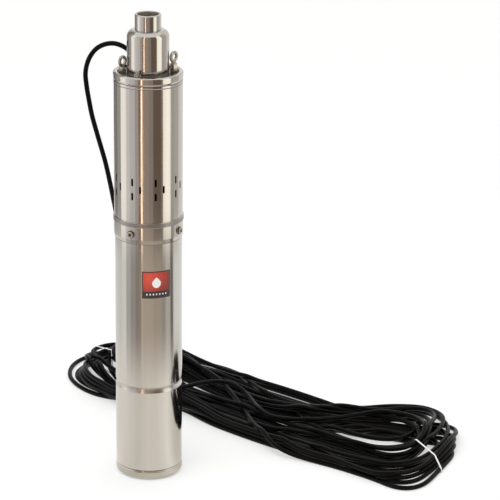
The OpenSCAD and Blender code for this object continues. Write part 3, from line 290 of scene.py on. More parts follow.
def blur(values, reach):
    """Values along a cable, each the bell-weighted mean of its neighbours, with the ends held."""
    bell = np.exp(-0.5 * (np.arange(-3 * reach, 3 * reach + 1) / reach) ** 2)
    padded = np.pad(values, 3 * reach, mode="edge")
    return np.convolve(padded, bell / bell.sum(), mode="valid")


def smoothed(curve, reach):
    """A curve with each of its columns blurred."""
    return np.column_stack([blur(column, reach) for column in curve.T])


def add_mesh(name, points, faces, material, smooth=True):
    """A mesh object at the origin from arrays of points in metres and of faces."""
    mesh = bpy.data.meshes.new(name)
    mesh.from_pydata(points.tolist(), [], [list(f) for f in faces])
    mesh.update()
    if smooth:
        mesh.shade_smooth()
    thing = bpy.data.objects.new(name, mesh)
    bpy.context.scene.collection.objects.link(thing)
    thing.data.materials.append(material)
    return thing


def grid_faces(rows, columns, wrap_rows=False, wrap_columns=False):
    """Quads of a grid of rows by columns of points, numbered row by row."""
    i = np.arange(rows if wrap_rows else rows - 1)[:, None]
    j = np.arange(columns if wrap_columns else columns - 1)[None, :]
    ni = (i + 1) % rows
    nj = (j + 1) % columns
    quads = np.stack(np.broadcast_arrays(i * columns + j, i * columns + nj, ni * columns + nj,
                                         ni * columns + j), axis=-1)
    return quads.reshape(-1, 4)


def set_uv(thing, uv_by_point):
    """A UV map that gives each face corner its point's pair of values."""
    mesh = thing.data
    corner = np.empty(len(mesh.loops), np.int32)
    mesh.loops.foreach_get("vertex_index", corner)
    layer = mesh.uv_layers.new(name="run")
    layer.data.foreach_set("uv", uv_by_point[corner].astype(np.float32).ravel())


TUBE_SLANT = (0.3, -0.65, 0.7)
TUBE_TIP = 0.02


def tube(name, path, radius, material, sides=12):
    """A round tube: a circle of that radius carried square to the path, closed to a point at each end.
    The circle's first axis is square to the path and to a slanted line that no stretch follows."""
    path = np.asarray(path, float)
    path = np.vstack((path[:1], path, path[-1:]))
    along = np.gradient(path, axis=0)
    along[0], along[-1] = along[2], along[-3]
    along[1], along[-2] = along[2], along[-3]
    along /= np.linalg.norm(along, axis=1, keepdims=True)
    side = np.cross(along, TUBE_SLANT)
    side /= np.linalg.norm(side, axis=1, keepdims=True)
    rise = np.cross(side, along)
    reach = np.full(len(path), float(radius))
    reach[[0, -1]] = TUBE_TIP * radius
    turn = np.linspace(0, 2 * math.pi, sides, endpoint=False)
    ring = side[:, None] * np.cos(turn)[None, :, None] + rise[:, None] * np.sin(turn)[None, :, None]
    points = path[:, None] + reach[:, None, None] * ring
    thing = add_mesh(name, points.reshape(-1, 3), grid_faces(len(path), sides, wrap_columns=True), material)
    run = run_of(path)
    uv = np.stack(np.broadcast_arrays(run[:, None], (turn / (2 * math.pi))[None, :]), axis=-1)
    set_uv(thing, uv.reshape(-1, 2))
    return thing


# Materials

class Field:
    """A socket of one material. Arithmetic on it adds Math nodes, and node() adds any other node."""

    def __init__(self, tree, socket=None):
        self.tree = tree
        self.socket = socket

    def node(self, kind, settings=None, sockets=None, out=0):
        made = self.tree.nodes.new(kind)
        for key, value in (settings or {}).items():
            if key == "stops":
                ramp = made.color_ramp
                while len(ramp.elements) < len(value):
                    ramp.elements.new(0.5)
                for element, (place, colour) in zip(ramp.elements, value):
                    element.position = place
                    element.color = colour if len(colour) == 4 else (*colour, 1)
            else:
                setattr(made, key, value)
        for key, value in (sockets or {}).items():
            if isinstance(value, Field):
                self.tree.links.new(value.socket, made.inputs[key])
            else:
                made.inputs[key].default_value = value
        return Field(self.tree, made.outputs[out])

    def math(self, operation, *values):
        return self.node("ShaderNodeMath", {"operation": operation}, dict(enumerate(values)))

    def __add__(self, other):
        return self.math("ADD", self, other)

    def __radd__(self, other):
        return self.math("ADD", other, self)

    def __sub__(self, other):
        return self.math("SUBTRACT", self, other)

    def __rsub__(self, other):
        return self.math("SUBTRACT", other, self)

    def __mul__(self, other):
        return self.math("MULTIPLY", self, other)

    def __rmul__(self, other):
        return self.math("MULTIPLY", other, self)

    def __truediv__(self, other):
        return self.math("DIVIDE", self, other)

    def __abs__(self):
        return self.math("ABSOLUTE", self)

    def ease(self, low, high, start=0.0, end=1.0):
        return self.node("ShaderNodeMapRange", {"interpolation_type": "SMOOTHSTEP"},
                         {0: self, 1: low, 2: high, 3: start, 4: end})

    def mix(self, a, b):
        """Colour a where this is 0, colour b where it is 1."""
        a, b = ((*c, 1) if isinstance(c, tuple) and len(c) == 3 else c for c in (a, b))
        return self.node("ShaderNodeMix", {"data_type": "RGBA"}, {0: self, 6: a, 7: b}, out=2)

    def noise(self, place, scale, detail=2.0, rough=0.5):
        return self.node("ShaderNodeTexNoise", None,
                         {"Vector": place, "Scale": scale, "Detail": detail, "Roughness": rough})

    def stretched(self, place, scale):
        return self.node("ShaderNodeMapping", None, {"Vector": place, "Scale": scale})

    def bump(self, height, strength, distance):
        return self.node("ShaderNodeBump", None,
                         {"Strength": strength, "Distance": distance, "Height": height})


def finish_of(name, paint, **constants):
    """A material with a Principled shader. paint(field, object place) gives its linked sockets by name."""
    material = bpy.data.materials.new(name)
    material.use_nodes = True
    tree = material.node_tree
    shader = tree.nodes["Principled BSDF"]
    for key, value in constants.items():
        socket = shader.inputs[key.replace("_", " ")]
        socket.default_value = (*value, 1) if isinstance(value, tuple) and len(value) == 3 else value
    field = Field(tree)
    place = field.node("ShaderNodeTexCoord", out=3)
    for key, value in paint(field, place).items():
        tree.links.new(value.socket, shader.inputs[key.replace("_", " ")])
    return material


def sheet_of(name, paint):
    """A material whose surface is the shader that paint(field, object place) gives."""
    material = bpy.data.materials.new(name)
    material.use_nodes = True
    tree = material.node_tree
    tree.nodes.clear()
    field = Field(tree)
    shader = paint(field, field.node("ShaderNodeTexCoord", out=3))
    surface = tree.nodes.new("ShaderNodeOutputMaterial")
    tree.links.new(shader.socket, surface.inputs["Surface"])
    return material


def steel_paint(tone, rough, spread, grain):
    """Bright sheet steel: cloudy polish, fine lines along the grain's stretched noise, faint smears."""
    def paint(field, place):
        cloud = field.noise(place, scale=22.0, detail=3.0)
        lines = field.noise(field.stretched(place, grain), scale=1.0, detail=3.0, rough=0.6)
        smear = field.noise(field.stretched(place, (60, 60, 9)), scale=1.0, detail=2.0).ease(0.5, 0.75)
        shade = lines * 0.5 + cloud * 0.5
        return {
            "Base Color": shade.mix(tuple(0.9 * c for c in tone), tuple(min(1.06 * c, 1.0) for c in tone)),
            "Roughness": rough + (lines - 0.5) * spread + smear * 0.06 + (cloud - 0.5) * 0.08,
            "Normal": field.bump(lines, strength=0.05, distance=0.0004),
        }
    return paint


def place_parts(field, place):
    """The object's x, y and z, and the distance from the pump's axis."""
    axes = field.node("ShaderNodeSeparateXYZ", None, {0: place}).socket.node.outputs
    x, y, z = (Field(field.tree, axes[k]) for k in range(3))
    return x, y, z, field.math("SQRT", x * x + y * y)


def shell_paint(field, place):
    """The pump's outside: polished sheet with lines along it, a satin turned lip on the collar, a duller
    groove, painted shade low on the foot's bead, a duller floor in the cap darkened with painted shade,
    a duller thread in the outlet, cut edges at the slots painted near black as shade, and lines of
    painted shade along the seam lines and under the collar's lower edge.
    Each of them is found by its height and its distance from the axis."""
    z, out = place_parts(field, place)[2:]
    lip = out.ease(*LIP_OUT) * abs(z - LIP_MID).ease(*LIP_HALF)
    well = out.ease(*WELL_OUT) * abs(z - WELL_Z).ease(*WELL_HALF)
    thread = out.ease(*THREAD_OUT) * z.ease(*THREAD_Z)
    cut = out.ease(*SLOT_OUT) * abs(z - SLOT_MID).ease(*SLOT_HALF)
    # Painted shade: dark lines along the seam lines and under the collar's lower edge
    seam_shade = 0.0
    for height, half in SEAM_SHADE_LINES:
        seam_shade = abs(z - height).ease(half, half * SEAM_CORE) + seam_shade
    groove = abs(z - GROOVE_MID).ease(*GROOVE_HALF)
    bead = z.ease(*BEAD_TOP) * z.ease(*BEAD_FOOT) * out.ease(*BEAD_OUT)
    streak = field.noise(field.stretched(place, STREAK_GRAIN), scale=1.0, detail=3.0, rough=0.6)
    polish = steel_paint(STEEL, POLISH_ROUGH, POLISH_SPREAD, ALONG_GRAIN)(field, place)
    sheet = streak.ease(0.35, 0.7).mix(polish["Base Color"], tuple(STREAK_SHADE * c for c in STEEL))
    bead_shaded = bead.mix(sheet, BEAD_SHADE_TONE)
    satin = lip.mix(bead_shaded, LIP_TONE)
    shaded_hollows = cut.mix(well.mix(satin, WELL_SHADE_TONE), SLOT_SHADE_TONE)
    threaded_and_shaded = thread.mix(shaded_hollows, THREAD_TONE)
    duller = lip * LIP_ROUGH + groove * GROOVE_ROUGH + (well + cut + thread) * DULL_ROUGH
    return {
        "Base Color": (seam_shade * out.ease(*SEAM_OUT)).mix(threaded_and_shaded, SEAM_SHADE_TONE),
        "Roughness": polish["Roughness"] + duller,
        "Normal": polish["Normal"],
    }


def fastener_paint(field, place):
    """Plated screws, nuts and eyes. On the collar's screws, each found by its turn and its height, painted
    shade darkens the driver's recess and a ring under the head."""
    x, y, z, out = place_parts(field, place)
    turn = field.math("ARCTAN2", x, 0.0 - y) - SCREW_AZ
    nearest = field.math("PINGPONG", turn, math.pi / SCREW_COUNT)
    side = nearest * out
    drop = z - SCREW_Z
    off = field.math("SQRT", side * side + drop * drop)
    dark = field.math("MAXIMUM", off.ease(*RECESS_R), abs(off - RING_R).ease(*RING_HALF))
    near = out.ease(*SCREW_OUT) * abs(drop).ease(*SCREW_REACH)
    plate = steel_paint(PLATE_TONE, 0.26, 0.16, PLATE_GRAIN)(field, place)
    return {
        "Base Color": (dark * near).mix(plate["Base Color"], RECESS_SHADE_TONE),
        "Roughness": plate["Roughness"],
        "Normal": plate["Normal"],
    }


def cast_paint(tone, rough, depth):
    """Cast or sintered metal: a pebbled skin and darker hollows."""
    def paint(field, place):
        pebble = field.noise(place, scale=420.0, detail=4.0, rough=0.6)
        cloud = field.noise(place, scale=30.0, detail=2.0)
        return {
            "Base Color": (pebble * 0.6 + cloud * 0.4).mix(tuple(0.75 * c for c in tone), tone),
            "Roughness": rough + (pebble - 0.5) * 0.25,
            "Normal": field.bump(pebble, strength=depth, distance=0.0006),
        }
    return paint


def rubber_paint(tone, rough):
    """Moulded rubber or plastic: fine grain and dusty patches."""
    def paint(field, place):
        grain = field.noise(place, scale=1600.0, detail=2.0, rough=0.6)
        dust = field.noise(place, scale=45.0, detail=3.0).ease(0.45, 0.8)
        return {
            "Base Color": dust.mix(tone, tuple(c * 1.35 + 0.008 for c in tone)),
            "Roughness": rough + dust * 0.08 + (grain - 0.5) * 0.12,
            "Normal": field.bump(grain, strength=0.12, distance=0.0002),
        }
    return paint


def sheath_paint(field, place):
    """Drawn cable sheath on its own run: fine lines along it, duller patches, a faint dusty bloom."""
    run = field.node("ShaderNodeUVMap", {"uv_map": "run"})
    lines = field.noise(field.stretched(run, (30, 40, 1)), scale=1.0, detail=3.0, rough=0.6)
    patch = field.noise(place, scale=38.0, detail=3.0).ease(0.4, 0.75)
    grain = field.noise(place, scale=1900.0, detail=2.0)
    return {
        "Base Color": patch.mix((0.0012, 0.0012, 0.0013), (0.003, 0.0028, 0.0028)),
        "Roughness": 0.36 + patch * 0.1 + (lines - 0.5) * 0.16,
        "Normal": field.bump(lines * 0.6 + grain * 0.4, strength=0.14, distance=0.0003),
    }


def winding_paint(field, place):
    """Enamelled copper: close lines of wire and varnish pools."""
    wire = field.node("ShaderNodeTexWave", {"wave_type": "BANDS", "bands_direction": "Z"},
                      {"Vector": place, "Scale": 260.0, "Distortion": 3.0, "Detail": 2.0})
    varnish = field.noise(place, scale=70.0, detail=2.0)
    return {
        "Base Color": wire.mix((0.24, 0.075, 0.025), (0.55, 0.21, 0.08)),
        "Roughness": 0.25 + varnish * 0.2,
        "Normal": field.bump(wire, strength=0.4, distance=0.0006),
    }


def lamination_paint(field, place):
    """Stacked electrical sheet: fine level lines with some rust-brown sheets."""
    sheet = field.node("ShaderNodeTexWave", {"wave_type": "BANDS", "bands_direction": "Z"},
                       {"Vector": place, "Scale": 420.0, "Distortion": 0.4})
    stain = field.noise(field.stretched(place, (4, 4, 300)), scale=1.0, detail=2.0).ease(0.5, 0.8)
    return {
        "Base Color": stain.mix((0.2, 0.2, 0.21), (0.16, 0.11, 0.08)),
        "Roughness": 0.38 + sheet * 0.2,
        "Normal": field.bump(sheet, strength=0.35, distance=0.0003),
    }


LABEL_AZ = math.radians(-9.0)
LABEL_SPAN = math.radians(49.6)
LABEL_LOW = 0.2845
LABEL_HIGH = 0.325
# Print on the label, in shares of its width and height: middles, and pairs where a mark starts and is full
BORDER_OFF = (0.455, 0.475)
FADE_MID = (0.3, 0.75)
FADE_R = (0.0, 0.85)
STRIP_UP = (0.27, 0.25)
DROP_MID = (0.5, 0.58)
DROP_STRETCH = 1.6
DROP_R = (0.2, 0.185)
DROP_TAPER = (0.0, 0.26)
DROP_POINT = 0.16
DROP_HALF = (0.155, 0.145)
TICK_COUNT = 9.0
TICK_HALF = (0.2, 0.17)
TICK_MID = 0.15
TICK_HIGH = (0.035, 0.025)
TICK_OFF = (0.36, 0.355)
LABEL_RED = (0.62, 0.06, 0.03)
LABEL_DEEP_RED = (0.2, 0.012, 0.01)
LABEL_STRIP = (0.028, 0.02, 0.02)
LABEL_PALE = (0.82, 0.8, 0.77)
LABEL_EDGE = (0.03, 0.022, 0.02)


def label_paint(field, place):
    """Printed film: red that darkens to its edges, a dark border, a pale drop and a row of plain ticks.
    Across it runs the azimuth from the label's left edge, up it the height, both from 0 to 1."""
    x, y, z = place_parts(field, place)[:3]
    across = (field.math("ARCTAN2", x, 0.0 - y) - LABEL_AZ) / LABEL_SPAN
    up = (z - LABEL_LOW) / (LABEL_HIGH - LABEL_LOW)
    off_x = abs(across - 0.5)
    off_y = abs(up - 0.5)
    border = field.math("MAXIMUM", off_x, off_y).ease(*BORDER_OFF)
    fade_x = across - FADE_MID[0]
    fade_y = up - FADE_MID[1]
    fade = field.math("SQRT", fade_x * fade_x + fade_y * fade_y).ease(*FADE_R)
    red = fade.mix(LABEL_RED, LABEL_DEEP_RED)
    drop_x = across - DROP_MID[0]
    drop_y = up - DROP_MID[1]
    drop_r = field.math("SQRT", drop_x * drop_x * DROP_STRETCH + drop_y * drop_y)
    narrow = (abs(drop_x) + drop_y.ease(*DROP_TAPER) * DROP_POINT).ease(*DROP_HALF)
    drop = drop_r.ease(*DROP_R) * narrow
    tick = abs(field.math("FRACT", across * TICK_COUNT) - 0.5)
    ticks = tick.ease(*TICK_HALF) * abs(up - TICK_MID).ease(*TICK_HIGH) * off_x.ease(*TICK_OFF)
    ground = up.ease(*STRIP_UP).mix(red, LABEL_STRIP)
    marked = field.math("MAXIMUM", drop, ticks).mix(ground, LABEL_PALE)
    wear = field.noise(place, scale=90.0, detail=3.0)
    return {
        "Base Color": border.mix(marked, LABEL_EDGE),
        "Roughness": 0.22 + wear * 0.14,
    }


def earth_paint(field, place):
    """Insulation of the earth core: one half of its round green, the other yellow, with a fine grain."""
    run = field.node("ShaderNodeUVMap", {"uv_map": "run"})
    parts = field.node("ShaderNodeSeparateXYZ", None, {0: run}).socket.node.outputs
    round_share = Field(field.tree, parts[1])
    grain = field.noise(place, scale=1600.0, detail=2.0, rough=0.6)
    return {
        "Base Color": abs(round_share - 0.5).ease(0.24, 0.26).mix((0.03, 0.22, 0.04), (0.6, 0.42, 0.03)),
        "Roughness": 0.4 + (grain - 0.5) * 0.12,
        "Normal": field.bump(grain, strength=0.1, distance=0.0002),
    }


def plain_paint(tone, rough, scale=300.0):
    """A smooth made surface with a slight mottle."""
    def paint(field, place):
        mottle = field.noise(place, scale, 3.0)
        return {
            "Base Color": mottle.mix(tuple(0.86 * c for c in tone), tone),
            "Roughness": rough + (mottle - 0.5) * 0.14,
            "Normal": field.bump(mottle, strength=0.06, distance=0.0003),
        }
    return paint


STEEL = (0.575, 0.555, 0.525)
POLISH_ROUGH = 0.1
POLISH_SPREAD = 0.06
ACROSS_GRAIN = (14, 14, 900)
ALONG_GRAIN = (500, 500, 6)
STREAK_GRAIN = (150, 150, 2.5)
STREAK_SHADE = 0.965
# Marks on the pump's outside, in metres: middles, and pairs from where a mark ends to where it is full
LIP_MID = 0.3937
LIP_HALF = (0.0033, 0.0029)
LIP_OUT = (0.0499, 0.0501)
LIP_TONE = (0.34, 0.315, 0.31)
LIP_ROUGH = 0.26
# The cap's floor: duller, and darkened with painted shade
WELL_Z = 0.6042
WELL_HALF = (0.0016, 0.001)
WELL_OUT = (0.0436, 0.043)
WELL_SHADE_TONE = (0.3, 0.285, 0.27)
THREAD_Z = (0.655, 0.665)
THREAD_OUT = (0.0162, 0.0158)
THREAD_TONE = (0.6, 0.57, 0.52)
# The cut edges at the slots: duller, and painted near black as shade
SLOT_MID = 0.4464
SLOT_HALF = (0.03, 0.028)
SLOT_OUT = (0.04885, 0.04875)
SLOT_SHADE_TONE = (0.07, 0.065, 0.06)
DULL_ROUGH = 0.38
GROOVE_MID = 0.1423
GROOVE_HALF = (0.0056, 0.0046)
GROOVE_ROUGH = 0.12
# The foot's bead, darkened with painted shade low down
BEAD_TOP = (0.0145, 0.012)
BEAD_FOOT = (0.002, 0.005)
BEAD_OUT = (0.046, 0.0465)
BEAD_SHADE_TONE = (0.47, 0.448, 0.4)
# Lines of painted shade along the seam lines and under the collar's lower edge: height and half width of each
SEAM_SHADE_LINES = ((0.0155, 0.0008), (0.3653, 0.0004), (0.5929, 0.0005), (0.5971, 0.0006))
SEAM_CORE = 0.4
SEAM_OUT = (0.0465, 0.047)
SEAM_SHADE_TONE = (0.1, 0.085, 0.07)
SCREW_COUNT = 4
SCREW_AZ = math.radians(-27.7)
SCREW_Z = 0.3795
SCREW_OUT = (0.0485, 0.049)
SCREW_REACH = (0.008, 0.007)
# Painted shade in the driver's recess and in a ring under each screw's head
RECESS_R = (0.0024, 0.0014)
RECESS_SHADE_TONE = (0.03, 0.025, 0.02)
RING_R = 0.0051
RING_HALF = (0.0006, 0.0002)
PLATE_TONE = (0.5, 0.47, 0.42)
PLATE_GRAIN = (260, 260, 260)

METAL = {"Metallic": 1.0}
PAINTS = {
    "polished_steel": (shell_paint, METAL),
    "fastener_steel": (fastener_paint, METAL),
    "plain_steel": (steel_paint((0.52, 0.51, 0.5), 0.34, 0.2, ALONG_GRAIN), METAL),
    "rotor_chrome": (steel_paint((0.72, 0.73, 0.75), 0.08, 0.06, (40, 40, 40)), METAL),
    "bearing_steel": (steel_paint((0.62, 0.62, 0.63), 0.12, 0.08, ACROSS_GRAIN), METAL),
    "cage_plastic": (rubber_paint((0.3, 0.24, 0.13), 0.45), {}),
    "black_rubber": (rubber_paint((0.014, 0.014, 0.015), 0.55), {}),
    "cable_sheath": (sheath_paint, {"Specular_IOR_Level": 0.1}),
    "cast_aluminium": (cast_paint((0.6, 0.6, 0.61), 0.42, 0.25), METAL),
    "cast_iron": (cast_paint((0.13, 0.13, 0.135), 0.6, 0.4), {"Metallic": 0.7}),
    "lamination": (lamination_paint, {"Metallic": 0.85}),
    "copper_winding": (winding_paint, {"Metallic": 0.6}),
    "seal_ceramic": (plain_paint((0.8, 0.78, 0.72), 0.28), {}),
    "seal_carbon": (plain_paint((0.03, 0.03, 0.032), 0.36), {}),
    "gland_brass": (steel_paint((0.72, 0.52, 0.24), 0.24, 0.14, (90, 90, 90)), METAL),
    "wire_insulation": (rubber_paint((0.28, 0.05, 0.03), 0.4), {}),
    "capacitor_can": (plain_paint((0.42, 0.43, 0.45), 0.35), {}),
    "chamber_plastic": (rubber_paint((0.07, 0.075, 0.08), 0.42), {}),
    "label_film": (label_paint, {"Coat_Weight": 0.4}),
    "tie_nylon": (plain_paint((0.84, 0.84, 0.82), 0.38), {}),
}
FINISHES = {name: finish_of(name, paint, **fixed) for name, (paint, fixed) in PAINTS.items()}

CORE_PAINTS = {
    "core_brown": rubber_paint((0.14, 0.045, 0.02), 0.4),
    "core_blue": rubber_paint((0.02, 0.07, 0.34), 0.4),
    "core_earth": earth_paint,
}
CORES = {name: finish_of(name, paint) for name, paint in CORE_PAINTS.items()}

for part in frame["record"]["subparts"]:
    for held in frame["nodes"][part["node"]].material_slots:
        held.material = FINISHES[part["material_slot"]]


# Cable and hank

# How the cable lies, in millimetres: the step of its points, the rounds in which it settles, its sag in a
# round, how near beside another stretch it still lies on it, and how far along itself it starts to do so
LIE_STEP = 4.0
LIE_PASSES = 160
LIE_SAG = 0.35
SIDE_BY_SIDE = 0.85
LIE_NEAR = 8 * CABLE_D
LIE_BLOCKS = 16
# How many points each smoothing reaches over, and how finely the cable is drawn
LIE_REACH = 4
LIE_SMOOTH = 2
ROUTE_SMOOTH = 2
LYING_SMOOTH = 3
LEAD_SPAN = 6
CABLE_STEP = 5.0
# Ranks in the pile: the hank's go from 0 to 1, and the lead's way over it lies on top
TOP_RANK = 1.5
INNER_RANK = 1.2
CROSSING_RANK = 1.18
CROSSING_BELOW = 1.195
HANK_BELOW = 0.5
# The back edge of the hank, behind which the traces are drawn in to keep to the solid hank
BACK_EDGE = 428.0
BACK_SHARE = 0.42
# Bends: the curve that counts as straight and the step as none, the radius that bends are opened to, the
# rounds at most, how far and how strongly each is eased, and the points held at both ends
STRAIGHT = 1e-6
STILL = 1e-9
EASE_RADIUS = 27.0
EASE_ENOUGH = 0.97 * EASE_RADIUS
EASE_ROUNDS = 400
EASE_REACH = 5
EASE_FORCE = 2
EASE_MEAN = 2
EASE_HELD = 3
# Heights of the traced strands: how often they are worked out again, how far they follow, and their top
HEIGHT_ROUNDS = 2
HEIGHT_SHARE = 0.5
HEIGHT_TOP = 17.0
RANK_WEIGHT = 400.0
# Points that are kept of the route: by how far it has turned and gone on since the last one
THIN_TURN = math.radians(8)
THIN_NEAR = 20.0
THIN_FAR = 100.0


def ranked(route, rank):
    """A route on the floor with its rank in the pile beside it."""
    return np.column_stack((np.asarray(route, float), np.broadcast_to(rank, len(route))))


def lie_down(route):
    """Heights of a cable that lies on the floor and over itself. Where two stretches meet, the one of
    higher rank lies on the other, at the height of two touching rounds. Between such places it sags."""
    place, rank = route[:, :2], route[:, 2]
    run = LIE_STEP * np.arange(len(route))
    over, under, lift = [], [], []
    for block in np.array_split(np.arange(len(route)), LIE_BLOCKS):
        gap = np.linalg.norm(place[block, None] - place[None], axis=2)
        apart = np.abs(run[block, None] - run[None]) > LIE_NEAR
        i, j = np.nonzero((gap < SIDE_BY_SIDE * CABLE_D) & apart & (rank[block, None] > rank[None]))
        over.append(block[i])
        under.append(j)
        lift.append(np.sqrt(CABLE_D**2 - gap[i, j] ** 2))
    over, under, lift = (np.concatenate(rows) for rows in (over, under, lift))
    height = np.full(len(route), CABLE_R)
    for _ in range(LIE_PASSES):
        rest = np.full(len(route), CABLE_R)
        rest[0] = LEAD_ROUTE[-1][2]
        np.maximum.at(rest, over, height[under] + lift)
        height = np.maximum(rest, blur(height, LIE_REACH) - LIE_SAG)
    return blur(height, LIE_SMOOTH)


def seen_at(across, down, height):
    """The place on the floor's axes, in millimetres to a tenth, where the sight line of one of the
    photograph's pixels meets the level plane at a height."""
    u = across - PHOTO_MID
    w = PHOTO_MID - down
    right = (u * math.cos(CAMERA_ROLL) - w * math.sin(CAMERA_ROLL)) / TRACE_FOCUS
    up = (u * math.sin(CAMERA_ROLL) + w * math.cos(CAMERA_ROLL)) / TRACE_FOCUS
    ahead = math.sin(CAMERA_TILT) + up * math.cos(CAMERA_TILT)
    fall = math.cos(CAMERA_TILT) - up * math.sin(CAMERA_TILT)
    reach = (TRACE_EYE[2] - height * MM) / fall
    x = round((TRACE_EYE[0] + reach * right) / MM, 1)
    y = round((TRACE_EYE[1] + reach * ahead) / MM, 1)
    return x, min(y, BACK_EDGE + BACK_SHARE * (y - BACK_EDGE))


def between(one, other, count, share=0.5):
    """A strand that lies between two others, at a share of the way from the one to the other."""
    one, other = np.array(one, float), np.array(other, float)
    return (1 - share) * at_marks(one, run_of(one), count) + share * at_marks(other, run_of(other), count)


THIRD_TURN = (
    between(SECOND_TURN[0], SIXTH_TURN[0], BETWEEN_FRONT, THIRD_SHARE),
    between(SECOND_TURN[1], SIXTH_TURN[1], BETWEEN_BEND, THIRD_SHARE),
    THIRD_BACK,
    between(SECOND_TURN[3], SIXTH_TURN[3], BETWEEN_LEFT, THIRD_SHARE),
)
FIFTH_TURN = (
    between(SEVENTH_TURN[0], FOURTH_TURN[0], BETWEEN_FRONT),
    between(SEVENTH_TURN[1], FOURTH_TURN[1], BETWEEN_BEND)[:-1],
    FIFTH_BACK,
    between(FOURTH_TURN[3], SIXTH_TURN[3], BETWEEN_LEFT),
)
TENTH_TURN = (
    between(SEVENTH_TURN[0], ELEVENTH_TURN[0], BETWEEN_FRONT),
    between(SEVENTH_TURN[1], ELEVENTH_TURN[1], BETWEEN_BEND),
    TENTH_BACK,
    TENTH_LEFT,
)
TURNS = (
    FIRST_TURN, SECOND_TURN, THIRD_TURN, FOURTH_TURN, FIFTH_TURN, SIXTH_TURN, SEVENTH_TURN, EIGHTH_TURN,
    NINTH_TURN, TENTH_TURN, ELEVENTH_TURN, TWELFTH_TURN, THIRTEENTH_TURN, FOURTEENTH_TURN,
)


def turns_at(heights):
    """The points of all turns, one turn after the other: each traced pixel's place at its height, and its
    rank, which grows from turn to turn."""
    points = []
    for number, parts in enumerate(TURNS):
        pixels = [pixel for part in parts for pixel in part]
        for done, pixel in enumerate(pixels):
            rank = (number + done / len(pixels)) / len(TURNS)
            points.append((*seen_at(*pixel, heights[len(points)]), rank))
    return np.array(points)


def bend_radius(place):
    """The radius of a curve at each of its points, from its first and second differences."""
    slope = np.gradient(place, LIE_STEP, axis=0)
    change = np.gradient(slope, LIE_STEP, axis=0)
    curl = np.abs(slope[:, 0] * change[:, 1] - slope[:, 1] * change[:, 0])
    return 1 / np.maximum(curl / np.maximum(np.linalg.norm(slope, axis=1), STILL) ** 3, STRAIGHT)


def opened_bends(route):
    """The route with its tight bends opened: over many rounds, where a bend is too tight, each point moves
    towards the mean of its neighbours."""
    for _ in range(EASE_ROUNDS):
        place = route[:, :2]
        bend = bend_radius(place)
        if bend[EASE_REACH:-EASE_REACH].min() >= EASE_ENOUGH:
            break
        short = np.clip((EASE_RADIUS - bend) / EASE_RADIUS, 0, 1)
        tight = np.minimum(1, blur(short, EASE_REACH) * EASE_FORCE)
        tight[:EASE_HELD] = 0
        tight[-EASE_HELD:] = 0
        route[:, :2] = place + tight[:, None] * (smoothed(place, EASE_MEAN) - place)
        route = even_steps(route, LIE_STEP, 2)
    return route


def route_through(turns):
    """One smooth route from the lead's end through the inner turn and the crossing to the given turns."""
    crossing = [seen_at(*pixel) for pixel in CROSSING_TRACE]
    points = np.vstack((
        ranked([LEAD_ROUTE[-1][:2]], TOP_RANK),
        ranked(TAIL_ROUTE, np.linspace(TOP_RANK, INNER_RANK, len(TAIL_ROUTE))),
        ranked(crossing, CROSSING_RANK),
        turns,
    ))
    route = even_steps(catmull_rom(points), LIE_STEP, 2)
    return opened_bends(smoothed(route, ROUTE_SMOOTH))


def height_at(turns, route):
    """The height of the lying route beside each point of the turns, among stretches of about its rank."""
    height = lie_down(route)
    beside = []
    for point in turns:
        off = np.linalg.norm(route[:, :2] - point[:2], axis=1)
        away = off + RANK_WEIGHT * np.abs(route[:, 2] - point[2])
        beside.append(height[np.argmin(away)])
    return np.minimum(beside, HEIGHT_TOP)


def thinned(route):
    """The points of a route where it has turned or gone on far enough since the last one kept, to a
    millimetre, with their ranks."""
    step = np.diff(route[:, :2], axis=0)
    heading = np.unwrap(np.arctan2(step[:, 1], step[:, 0]))
    kept = [0]
    for here in range(1, len(route) - 1):
        gone = (here - kept[-1]) * LIE_STEP
        turned = np.ptp(heading[kept[-1]:here + 1])
        if gone > THIN_FAR or (gone >= THIN_NEAR and turned > THIN_TURN):
            kept.append(here)
    kept.append(len(route) - 1)
    return np.column_stack((np.round(route[kept, :2]), route[kept, 2]))


heights = np.array([float(height) for parts, guesses in zip(TURNS, PART_HEIGHTS)
                    for part, height in zip(parts, guesses) for _ in part])
whole_route = route_through(turns_at(heights))
for _ in range(HEIGHT_ROUNDS):
    heights = heights + HEIGHT_SHARE * (height_at(turns_at(heights), whole_route) - heights)
    whole_route = route_through(turns_at(heights))
route_points = thinned(whole_route)
crossing_start = int(np.argmax(route_points[:, 2] < CROSSING_BELOW))
hank_start = int(np.argmax(route_points[:, 2] < HANK_BELOW))
floor_route = np.vstack((
    ranked([LEAD_ROUTE[-1][:2]], TOP_RANK),
    ranked(route_points[1:crossing_start, :2], np.linspace(TOP_RANK, INNER_RANK, crossing_start - 1)),
    ranked(route_points[crossing_start:hank_start, :2], CROSSING_RANK),
    ranked(route_points[hank_start:, :2], np.linspace(0, 1, len(route_points) - hank_start)),
))
lying = even_steps(catmull_rom(floor_route), LIE_STEP)
lying[:, :2] = smoothed(lying[:, :2], LYING_SMOOTH)
hank_path = np.column_stack((lying[:, :2], lie_down(lying)))
lead_path = catmull_rom(LEAD_ROUTE, LEAD_SPAN)
cable_path = even_steps(np.vstack((lead_path[:-1], hank_path)), CABLE_STEP) * MM
cable = tube("cable", cable_path, CABLE_R * MM, FINISHES["cable_sheath"])
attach(cable, "pump_body")
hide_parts("cable_lead", "cable_hank")


# Ties

def taut_over(across, top):
    """Heights of a taut strap over a row of humps: their upper hull."""
    hull = []
    for point in zip(across, top):
        while len(hull) > 1 and ((hull[-1][0] - hull[-2][0]) * (point[1] - hull[-2][1])
                                 >= (hull[-1][1] - hull[-2][1]) * (point[0] - hull[-2][0])):
            hull.pop()
        hull.append(point)
    return np.interp(across, *np.transpose(hull))


def squarer(wave, power):
    """A sine or cosine raised to a small power with its sign, which makes a round of them squarer."""
    return np.sign(wave) * np.abs(wave) ** power


